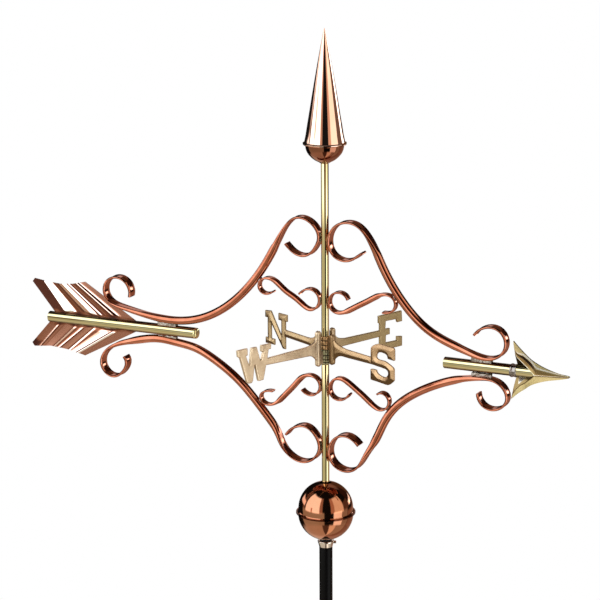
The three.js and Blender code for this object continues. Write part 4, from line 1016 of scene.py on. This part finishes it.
def feather(root_x, root_z, edge, ribs, relief, painted_light_tones, dark_corner):
    """Pressed sheet spread from its root (t = 0) to its outer edge (t = 1)."""
    across = np.unique(np.r_[np.linspace(0, 1, 220), relief[:, 0], edge[:, 0], painted_light_tones[:, 0]])
    outward = np.r_[0, 0.02, 0.04, np.linspace(0.06, 0.30, 13), np.linspace(0.34, 1, 16)]
    grid = np.zeros((len(across), len(outward), 3))
    tone = np.zeros(grid.shape[:2])
    for i, s in enumerate(across):
        edge_x, edge_z = (np.interp(s, edge[:, 0], edge[:, k]) for k in (1, 2))
        x0 = root_x[0] + (root_x[1] - root_x[0]) * np.interp(s, ribs[:, 0], ribs[:, 1])
        height = np.interp(s, relief[:, 0], relief[:, 1])
        wander = 0.03 * math.sin(17 * s) + 0.02 * math.sin(41 * s + 1)
        for j, t in enumerate(outward):
            pressed = height * smooth01((t - 0.045 - wander) / 0.10)
            bow = 0.9 * math.sin(math.pi * s) * t * t       # slight bow of thin sheet
            grid[i, j] = (x0 + (edge_x - x0) * t, -pressed - bow,
                          root_z + (edge_z - root_z) * t)
            # painted light: the tones give painted highlight bands and painted dark lines
            value = np.interp(s, painted_light_tones[:, 0], painted_light_tones[:, 1])
            # dark_corner lays a painted shade over the feather's outer corner at the tail end
            if dark_corner:
                value *= 1 - 0.75 * smooth01((t - 0.72) / 0.12) * (
                    1 - smooth01((s - 0.07) / 0.1))
            k = smooth01((t - 0.035 - 0.025 * math.sin(17 * s)) / 0.06)
            tone[i, j] = value * k + (0.22 + 0.12 * math.sin(29 * s)) * (1 - k)
    for _ in range(2):      # smooth the pressing a little across the ribs
        y = grid[:, :, 1].copy()
        y[1:-1] = 0.25 * y[:-2] + 0.5 * y[1:-1] + 0.25 * y[2:]
        grid[:, :, 1] = y
    return sheet(grid, -1, 0.55, tone.ravel())


upper_feather = cut(feather(**UPPER_FEATHER),
                    scroll_cutter("scroll_upper_tail", thickness=2.2, clearance=0.45))
finish(upper_feather, "tail_feather_upper", FEATHER, angle=24)
finish(feather(**LOWER_FEATHER), "tail_feather_lower", FEATHER, angle=24)

# ------------------------------------------------------------------ arrowhead, outlines x, z
TOP_EDGE = spline(table(
    2, 330.8,48.7, 340.2,39, 351.1,28.9, 359.6,21.7, 368.4,16.4, 379.7,11, 394,5.9,
    408.3,2.2, 424.5,0.4), 2.0)[0]
BOTTOM_EDGE = spline(table(
    2, 328.3,-48.2, 337.7,-39.4, 344.8,-33.6, 352,-28.5, 359,-22.9, 369.6,-17.3,
    387.2,-11.2, 401.3,-8.0, 415,-5.0, 424.5,-2.5), 2.0)[0]
CREASE_Z = -1.0
CREASE_TAPER_X = 371            # the rear cuts of the front plate end here too
CREASE_HALF_WIDTH = 12.6
EDGE_HALF_GAP = 0.95
FRONT_REAR_TOP = table(
    2, 330.8,48.6, 331.6,44.1, 333.6,35.5, 336.8,27.5, 340.0,23.2, 344,19.8, 349.6,15.2,
    355.7,10.5, 363,4.6, CREASE_TAPER_X,CREASE_Z)
FRONT_REAR_BOTTOM = table(
    2, 328.3,-48.1, 332,-37.7, 338,-29, 344.7,-22, 353.3,-16.8, 359.4,-11.3, 365,-7,
    CREASE_TAPER_X,CREASE_Z)
BACK_REAR_TOP = table(
    2, 330.2,48.6, 330.8,38, 331.2,27.6, 332.6,18, 334.3,10.4, 335.6,CREASE_Z)
BACK_REAR_BOTTOM = table(
    2, 328.3,-48.1, 330.2,-31.7, 332,-20, 333.8,-12, 335.6,CREASE_Z)


def crease_y(x):
    if x < CREASE_TAPER_X:
        return CREASE_HALF_WIDTH
    share = (x - CREASE_TAPER_X) / (426.6 - CREASE_TAPER_X)
    return CREASE_HALF_WIDTH + share * (1.2 - CREASE_HALF_WIDTH)


def upper_painted_light(x, off):
    """Painted light at a distance off the rear cut or crease: painted highlight lines with
    painted shade between, in bands that narrow along x.
    """
    band = np.interp(x, [333, 338, 348.5, 362, 377.8, 407, 424],
                     [0.8, 5.0, 10.5, 11.4, 7.4, 2.4, 0.6])
    dark = np.interp(x, [335, 366, 376, 400], [0.0, 0.02, 0.30, 0.42])
    return np.interp(off / band, [0, 0.05, 0.12, 0.5, 0.62, 0.95, 1.03, 1.25, 1.4],
                     [1, 1, 0.33, 0.30, dark, dark, 1, 0.98, 0.6])


# Painted light for the lower wing: painted shade along the rear cut, lighter away from it.
def lower_painted_light(x, off):
    return np.interp(off, [0, 0.5, 0.9, 1.6, 2.4, 4.6, 5.2, 6.0],
                     [0.1, 0.1, 0.3, 0.5, 0.68, 0.66, 0.5, 0.6])


def wing(edge, rear, side, painted_light_at):
    """A sheet wing from the arrowhead's outer edge to the crease or the rear cut."""
    last_x, last_z = edge[-1]
    columns = 30
    rows, painted_light_tones = [], []
    for x in np.linspace(edge[0, 0], 426.4, 100):
        if x < 424.5:
            edge_z = np.interp(x, edge[:, 0], edge[:, 1])
        else:
            edge_z = last_z + (CREASE_Z - last_z) * (x - 424.5) / 2.2
        rear_z = np.interp(x, rear[:, 0], rear[:, 1]) if x < rear[-1, 0] else CREASE_Z
        full = max(abs(edge_z - CREASE_Z), 0.3)
        fold = min(0.2, 1.3 / full)         # rounding of the crease
        row = []
        for q in range(columns):
            z = edge_z + (rear_z - edge_z) * (1 - (1 - q / (columns - 1)) ** 1.7)
            f = min(1, abs(z - CREASE_Z) / full)
            f = (math.sqrt(f * f + fold * fold) - fold) / (math.sqrt(1 + fold * fold) - fold)
            y = EDGE_HALF_GAP + (crease_y(x) - EDGE_HALF_GAP) * (1 - f)
            row.append((x, side * y, z))
            # the tones are painted light
            painted_light_tones.append(float(painted_light_at(x, abs(z - rear_z))))
        rows.append(row)
    return sheet(np.array(rows), side, 0.6, painted_light_tones)


def head_plate(node, side, rear_top, rear_bottom):
    plate = join([wing(TOP_EDGE, rear_top, side, upper_painted_light),
                  wing(BOTTOM_EDGE, rear_bottom, side, lower_painted_light)])
    finish(plate, node, BRASS_HEAD, angle=30)


head_plate("arrowhead_front_plate", -1, FRONT_REAR_TOP, FRONT_REAR_BOTTOM)
head_plate("arrowhead_back_plate", 1, BACK_REAR_TOP, BACK_REAR_BOTTOM)


# ------------------------------------------------------------------ solder
def make_uneven(mesh, depth, seed):
    """Run solder: lumpy, with a skin drawn towards the metal it wets."""
    points = read_points(mesh)
    normals = np.array([v.normal for v in mesh.vertices], float)
    random = np.random.default_rng(seed)
    phases = random.uniform(0, 6.28, (5, 3))
    rates = random.uniform(250, 700, (5, 3))
    lumps = sum(np.sin(points[:, 0] * f[0] + p[0]) * np.sin(points[:, 1] * f[1] + p[1])
                * np.sin(points[:, 2] * f[2] + p[2]) for f, p in zip(rates, phases))
    points -= normals * (0.5 + 0.5 * np.tanh(lumps))[:, None] * depth * MM
    write_points(mesh, points)
    mesh.update()


def solder(node, seed):
    piece = link("part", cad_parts[node].data.copy())
    bm = bmesh.new()
    bm.from_mesh(piece.data)
    bmesh.ops.remove_doubles(bm, verts=bm.verts, dist=1e-6)
    bm.to_mesh(piece.data)
    bm.free()
    remesh(piece, voxel=0.42, smoothing=3)
    if node.startswith("solder_arrow"):     # narrower in Y, the lower one also less tall
        lower = node.endswith("lower")
        points = read_points(piece.data)
        points[:, 1] *= 0.45 if lower else 0.66
        if lower:
            bottom = points[:, 2].min()
            points[:, 2] = bottom + (points[:, 2] - bottom) * 0.6
        write_points(piece.data, points)
    make_uneven(piece.data, depth=0.55, seed=seed)
    finish(piece, node, SOLDER, angle=70)


for i, node in enumerate(sorted(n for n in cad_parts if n.startswith("solder_"))):
    solder(node, seed=40 + i)

# ------------------------------------------------------------------ compass castings
# Letter outlines: distance from the spindle along the arm, z.
LETTER_N = table(
    2, 145.3,39, 145.3,28, 139.2,28, 139.2,-7.5, 144.6,-7.5, 144.6,-17.3, 122.4,-17.3,
    122.4,-7.6, 131,-7.6, 131,20, 102.1,-19.8, 96,-19.8, 96,28.5, 91.5,28.5, 91.5,40,
    112.5,40, 112.5,28.5, 105.5,28.5, 105.5,0.5, 131.5,40.5)
LETTER_W = table(
    2, 202,36.5, 179.3,36.1, 179.1,24.2, 183.4,24, 176.3,5.6, 173.5,4.3, 169.5,35,
    157.7,34.8, 149.8,9.1, 146.3,9.4, 141.7,23.5, 146.7,24.8, 146.5,35.5, 123.9,34.8,
    124.6,25.9, 130,25.6, 133.4,9.2, 141,-20.9, 142.9,-27.6, 153.9,-27.6, 154.7,-25.5,
    160.5,-1, 161.1,3.5, 163.7,3.1, 167.4,-24.5, 170.1,-27.8, 176.9,-27.7, 181,-24.4,
    195.6,21.6, 201.1,25.8)
W_START = np.array([124, 0])            # the W is drawn in about this point
W_SCALE = np.array([0.935, 0.92])
LETTER_W = W_START + (LETTER_W - W_START) * W_SCALE
LETTER_E = table(
    2, 125,32.5, 125,20.5, 128,19, 128,-18, 125,-19.5, 125,-29, 180.8,-29.1, 180.8,-12.8,
    169.3,-11, 169.3,-18.2, 140.8,-17.1, 141.5,-3.2, 150.7,-3.3, 150.7,6.9, 139.9,7.2,
    140.8,21.4, 168.4,20.2, 169.7,14.1, 180.7,14.4, 179.4,32.4)
LETTER_S = table(
    2, 107.5,5.7, 107.7,19.2, 108.1,22.1, 111.1,25.4, 116.8,28.9, 123.6,31.2, 129.3,31.6,
    136.2,31.8, 144.1,31.6, 152.0,31.3, 157.6,31.1, 160.6,30.0, 161.0,27.9, 161.1,11.0,
    158.9,10.3, 155.5,10.6, 148.7,10.9, 146.2,11.3, 145.5,14.5, 143.7,17.0, 139.6,18.5,
    132.8,19.2, 127.1,18.6, 123.5,16.7, 121.0,13.5, 120.3,9.7, 121.2,7.0, 124.9,5.4,
    129.9,5.2, 137.9,5.3, 142.9,4.4, 148.1,2.4, 154.0,0.1, 158.0,-2.0, 159.9,-3.6,
    160.3,-6.5, 160.4,-22.3, 159.7,-23.6, 155.5,-27.5, 151.2,-30.9, 146.7,-33.0,
    142.3,-33.2, 131.9,-32.7, 122.9,-32.1, 113.5,-31.9, 107.5,-31.4, 107.3,-25.7,
    107.3,-14.2, 112.3,-13.1, 120.4,-13.4, 121.0,-16.1, 122.9,-18.1, 126.3,-20.1,
    131.8,-21.4, 136.8,-22.0, 141.1,-21.7, 145.5,-18.6, 147.7,-14.4, 147.2,-11.3,
    145.4,-9.0, 141.8,-7.1, 136.8,-6.9, 129.9,-6.2, 121.2,-6.0, 116.0,-5.5, 110.9,-5.3,
    107.0,-5.1)
# Half a flange outline: distance from the spindle, distance in from the upper or lower tip.
FLANGE_TIP = [(12.2, 3.7), (13.2, 1.5), (15, 0.3), (16.6, 0), (18.2, 0.3), (20, 1.5), (21, 3.7)]


def depth_inside(points, outline):
    """Signed distance of 2-D points to a closed outline, positive inside."""
    nearest = np.full(len(points), 1e9)
    odd = np.zeros(len(points), bool)
    for p, q in zip(outline, np.roll(outline, -1, axis=0)):
        side = q - p
        t = np.clip(((points - p) @ side) / max(side @ side, 1e-12), 0, 1)
        distance = np.linalg.norm(points - (p + t[:, None] * side), axis=1)
        nearest = np.minimum(nearest, distance)
        spans = (p[1] > points[:, 1]) != (q[1] > points[:, 1])
        with np.errstate(divide="ignore", invalid="ignore"):
            crossing = (q[0] - p[0]) * (points[:, 1] - p[1]) / (q[1] - p[1]) + p[0]
        odd ^= spans & (points[:, 0] < crossing)
    return np.where(odd, nearest, -nearest)


def grow(outline, distance):
    """Outline moved outwards."""
    p = np.array(outline, float)
    before, after = np.roll(p, 1, axis=0), np.roll(p, -1, axis=0)
    area = 0.5 * np.sum(p[:, 0] * after[:, 1] - after[:, 0] * p[:, 1])

    def normals(side):
        length = np.maximum(np.linalg.norm(side, axis=1), 1e-9)[:, None]
        return np.c_[side[:, 1], -side[:, 0]] / length

    following = normals(after - p)
    n = normals(p - before) + following
    n /= np.maximum(np.linalg.norm(n, axis=1), 1e-9)[:, None]
    cosine = np.clip(np.sum(n * following, axis=1), 0.6, 1)
    return p + (1 if area > 0 else -1) * n * (distance / cosine)[:, None]


def block(outline, yaw, half):
    """An outline standing along the direction yaw, made 2 * half thick."""
    a = math.radians(yaw)
    n = len(outline)
    verts = [(u * math.cos(a) - s * half * math.sin(a),
              u * math.sin(a) + s * half * math.cos(a), z)
             for s in (-1, 1) for u, z in outline]
    faces = [tuple(range(n)), tuple(range(2 * n - 1, n - 1, -1))]
    faces += [(i, (i + 1) % n, n + (i + 1) % n, n + i) for i in range(n)]
    return solid(verts, faces)


def pillow(outlines, yaw, half, depth, rim, ridge=0.0):
    """Flat shapes made into one bar that swells from its edge to full thickness.

    rim is the edge's share of the thickness, depth how far in the swelling goes, and
    ridge how much of it is straight rather than round.
    """
    outlines = [grow(outline, 0.45) for outline in outlines]
    piece = remesh(join([block(outline, yaw, half) for outline in outlines]), 0.5, 1)
    x, y, z = (read_points(piece.data) / MM).T
    a = math.radians(yaw)
    u = x * math.cos(a) + y * math.sin(a)
    w = x * math.sin(a) - y * math.cos(a)
    flat = np.c_[u, z - AXIS_HEIGHT]
    inward = np.max([depth_inside(flat, outline) for outline in outlines], axis=0)
    f = 1 - np.clip(inward / depth, 0, 1)
    w = w * (rim + (1 - rim) * (ridge * (1 - f) + (1 - ridge) * np.sqrt(1 - f * f)))
    write_points(piece.data, np.c_[u * math.cos(a) + w * math.sin(a),
                                   u * math.sin(a) - w * math.cos(a), z] * MM)
    piece.data.update()
    return piece


def arm(u1, top1, bottom1, u2, top2, bottom2):
    """Arm outline: flared at the hub, then tapering from u1 to u2."""
    top = spline([(19, 27), (20.6, 21.5), (24.5, 15.6), (31, 12.0), (u1, top1)], 1.5)[0]
    bottom = spline([(u1, bottom1), (31, bottom1 - 2.2), (24.5, bottom1 - 7), (20.6, -17),
                     (19, -24)], 1.5)[0]
    return np.vstack([top, [[u2, top2], [u2, bottom2]], bottom])


def sleeve(z0, z1, rings, screw_z):
    """Hub sleeve with raised rings left by the core box; rings are (z, width, height)."""
    profile = [(4.4, z0)]
    for z in np.linspace(z0, z1, 60):
        r = 7.75
        for ring_z, width, height in rings:
            r += height * math.exp(-((z - ring_z) / width) ** 2)
        r -= 0.9 * max(0, 1 - min(z - z0, z1 - z) / 0.9) ** 2
        profile.append((r, z))
    profile.append((4.4, z1))
    return cut(solid(*revolve(profile, 72)),
               rod(2.4, 3, 12, screw_z, HUB_SCREW_YAW, sides=24, rounding=0.05))


def casting(node, mat, arms, sleeve_z, flange_z, screw_z, rings):
    (z0, z1), (low, high) = sleeve_z, flange_z
    flange = ([(u, low + d) for u, d in FLANGE_TIP]
              + [(u, high - d) for u, d in FLANGE_TIP[::-1]])
    web = [(6, z0 + 1.5), (14, z0 + 1.5), (14, z1 - 1.5), (6, z1 - 1.5)]
    parts = []
    for shape in arms:
        parts.append(pillow([flange], shape["yaw"], half=4.1, depth=3.6, rim=0.45))
        parts.append(block(web, shape["yaw"], 3.2))
        parts.append(pillow(**shape))
    body = remesh(join(parts), 0.5, 2)
    finish(join([body, sleeve(z0, z1, rings, screw_z)]), node, mat, "compass",
           angle=50)


casting("compass_casting_north_south", CAST_NORTH_SOUTH,
        arms=[dict(yaw=NORTH_YAW, outlines=(arm(44, 10.8, -1.2, 98, 13.4, 2), LETTER_N),
                   half=3.5, depth=5.6, rim=0.30, ridge=0.7),
              dict(yaw=NORTH_YAW - 180, outlines=(arm(50, 7.8, -5.6, 110, 5.9, -5.3), LETTER_S),
                   half=3.6, depth=6.2, rim=0.30, ridge=0.7)],
        sleeve_z=(-0.7, 21.5), flange_z=(-24.7, 26.0), screw_z=10.5,
        rings=[(18.6, 2.0, 0.55), (10.8, 2.2, 0.6), (2.6, 2.2, 0.6)])
casting("compass_casting_west_east", CAST_WEST_EAST,
        arms=[dict(yaw=NORTH_YAW - 270, outlines=(arm(44, 9.8, -5.6, 136, 8.4, -1.9), LETTER_W),
                   half=2.6, depth=1.8, rim=0.6),
              dict(yaw=NORTH_YAW - 90, outlines=(arm(45, 8.9, -3.2, 130, 6.7, -3.6), LETTER_E),
                   half=2.6, depth=1.8, rim=0.6)],
        sleeve_z=(-26.7, -1.3), flange_z=(-27.7, 32.2), screw_z=-14,
        rings=[(-24.6, 1.3, 0.6), (-20.2, 1.5, 0.45), (-15.2, 1.6, 0.6), (-6.5, 2.5, 0.3)])

# ------------------------------------------------------------------ CAD pieces kept as they are
KEPT = {
    "spindle_rod": STEEL, "bearing_ball": STEEL, "hub_set_screw_upper": STEEL,
    "hub_set_screw_lower": STEEL, "spindle_top_plug": BRASS,
    "bush_upper_tube_top": NYLON, "bush_upper_tube_bottom": NYLON,
    "bush_lower_tube_top": NYLON, "bush_lower_tube_bottom": NYLON}
for node, mat in KEPT.items():
    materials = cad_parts[node].data.materials
    materials.clear()
    materials.append(mat)


# ------------------------------------------------------------------ floor, metres
def floor_material():
    """Pure white to the camera, a pale diffuse surface to all other rays."""
    made, g = empty_material("floor_pale")
    output = g.node("ShaderNodeOutputMaterial")
    white = g.node("ShaderNodeEmission")
    g.put(white.inputs[0], (1, 1, 1, 1))
    pale = g.node("ShaderNodeBsdfDiffuse")
    g.put(pale.inputs[0], (0.85, 0.84, 0.82, 1))
    seen = g.mix_shader(g.light_path("Is Camera Ray"), pale.outputs[0], white.outputs[0])
    g.put(output.inputs[0], seen)
    return made


def make_floor(half=40, z=-0.0005):
    mesh = bpy.data.meshes.new("floor")
    corners = [(-half, -half, z), (half, -half, z), (half, half, z), (-half, half, z)]
    mesh.from_pydata(corners, [], [(0, 1, 2, 3)])
    floor = link("floor", mesh)
    mesh.materials.append(floor_material())
    floor.visible_glossy = False
    floor.visible_shadow = False


make_floor()

# ------------------------------------------------------------------ camera, metres
AZIMUTH, ELEVATION, ROLL = math.radians(25.1), math.radians(14.1), math.radians(-0.32)
CAMERA_PLACE = (1.62031630, -3.55694340, 1.06462177 + AXIS_HEIGHT * MM)
level_right = Vector((math.cos(AZIMUTH), math.sin(AZIMUTH), 0))


def make_camera():
    ahead = Vector((-math.sin(AZIMUTH) * math.cos(ELEVATION),
                    math.cos(AZIMUTH) * math.cos(ELEVATION), -math.sin(ELEVATION)))
    level_up = level_right.cross(ahead)
    right = level_right * math.cos(ROLL) + level_up * math.sin(ROLL)
    up = -level_right * math.sin(ROLL) + level_up * math.cos(ROLL)
    data = bpy.data.cameras.new("camera")
    data.sensor_width = 36
    data.lens = 146.4
    data.clip_end = 200
    camera = link("camera", data)
    rows = [(*row, 0) for row in ()] + list(zip(right, up, -ahead, CAMERA_PLACE))
    camera.matrix_world = Matrix((*rows, (0, 0, 0, 1)))
    bpy.context.scene.camera = camera


make_camera()

# ------------------------------------------------------------------ studio reflections
WARM, ORANGE, COOL = (1.0, 0.86, 0.70), (1.0, 0.60, 0.42), (0.97, 0.99, 1.0)
# Degrees: azimuth from, to (0 towards the camera, + to its right); elevation from, to;
# strength; tint; softness of the edges in azimuth and in elevation.
PANELS = [
    # what the undersides see: the floor, with the shade of the camera stand
    (-181, -17, -92, -37, 0.78, WARM, 3, 6), (-17, 15, -92, -37, 0.14, ORANGE, 3, 6),
    (15, 46, -92, -37, 1.5, WARM, 3, 6), (46, 100, -92, -37, 0.62, WARM, 3, 6),
    (100, 181, -92, -37, 0.40, ORANGE, 3, 6),
    # just below eye level
    (-112, -7, -37, -5, 0.58, (1.0, 0.92, 0.72), 2, 5), (33, 71, -37, -5, 2.1, COOL, 1.5, 4),
    (71, 102, -37, -5, 0.5, WARM, 3, 4), (104, 181, -37, -12, 0.42, ORANGE, 4, 4),
    # left softboxes with a stand between them
    (-95, -67, -8, 54, 2.3, COOL, 1.8, 4), (-67, -60, -8, 8, 0.9, ORANGE, 1.8, 2),
    (-67, -60, 8, 54, 2.3, COOL, 1.8, 2), (-60, -28, -8, 54, 2.35, COOL, 1.8, 4),
    (-28, -15, -8, 54, 0.55, ORANGE, 1.8, 4), (-115, -101, -5, 48, 0.22, ORANGE, 2.5, 3),
    (-136, -103, 2, 15, 1.9, (1.0, 0.93, 0.9), 3, 2),
    # right softboxes
    (21, 37, -8, 52, 0.75, ORANGE, 1.8, 4), (37, 80, -8, 52, 1.45, (1.0, 0.92, 0.78), 2, 4),
    (81, 112, -5, 20, 0.17, ORANGE, 2.5, 3), (115, 146, -2, 7, 2.2, COOL, 2.5, 2),
    (121, 133, -2, 4, 4.0, COOL, 2, 2),
    # dim room behind
    (146, 181, -12, 60, 1, (0.11, 0.055, 0.022), 4, 4),
    (112, 150, 12, 40, 1, (0.035, 0.010, 0.005), 4, 4)]
MIRRORED_PANELS = [     # the same to left and right: backdrop, upper wall, floor behind
    (175, 181, -14, 30, 0.8, (1.0, 0.85, 0.82), 2.5, 4),
    (132, 181, 40, 86, 0.26, (1.0, 0.80, 0.75), 5, 7),
    (135, 181, -92, -50, 0.18, (1.0, 0.84, 0.80), 6, 7)]
BLACK = (0, 0, 0)
DEGREES = 57.29578


def make_world():
    """White to the camera, soft light to diffuse rays, the panels to reflections."""
    world = bpy.data.worlds.new("studio")
    bpy.context.scene.world = world
    world.use_nodes = True
    world.node_tree.nodes.clear()
    g = Graph(world.node_tree)
    output = g.node("ShaderNodeOutputWorld")
    ray = g.node("ShaderNodeTexCoord").outputs["Generated"]
    to_right = g.vector("DOT_PRODUCT", ray, tuple(level_right))
    to_camera = g.vector("DOT_PRODUCT", ray, (math.sin(AZIMUTH), -math.cos(AZIMUTH), 0))
    azimuth = g.times(g.math("ARCTAN2", to_right, to_camera), DEGREES)
    upward = g.vector("DOT_PRODUCT", ray, (0, 0, 1))
    elevation = g.times(g.math("ARCSINE", upward), DEGREES)
    either_side = g.math("ABSOLUTE", azimuth)

    def band(value, low, high, soft):
        return g.times(g.step(value, low - soft, low + soft),
                       g.inverse(g.step(value, high - soft, high + soft)))

    def background(colour):
        made = g.node("ShaderNodeBackground")
        g.put(made.inputs[0], colour)
        return made.outputs[0]

    total = g.mix(1.0, BLACK, (0.010, 0.010, 0.010))
    for angle, panels in ((azimuth, PANELS), (either_side, MIRRORED_PANELS)):
        for a0, a1, e0, e1, strength, tint, soft_a, soft_e in panels:
            mask = g.times(band(angle, a0, a1, soft_a), band(elevation, e0, e1, soft_e))
            panel = g.mix(mask, BLACK, tuple(strength * c for c in tint))
            total = g.vector("ADD", total, panel)

    soft = g.mix(g.step(upward, -0.5, 0.7), (0.45, 0.42, 0.38), (1.15, 1.12, 1.08))
    path = g.node("ShaderNodeLightPath").outputs
    lit = g.mix_shader(path["Is Diffuse Ray"], background(total), background(soft))
    seen = g.mix_shader(path["Is Camera Ray"], lit, background((1, 1, 1, 1)))
    g.put(output.inputs[0], seen)
    world.cycles.sampling_method = "MANUAL"
    world.cycles.sample_map_resolution = 1024


make_world()

view = bpy.context.scene.view_settings
view.view_transform = "Standard"
view.look = "None"
view.exposure = 0.0

bpy.context.view_layer.update()
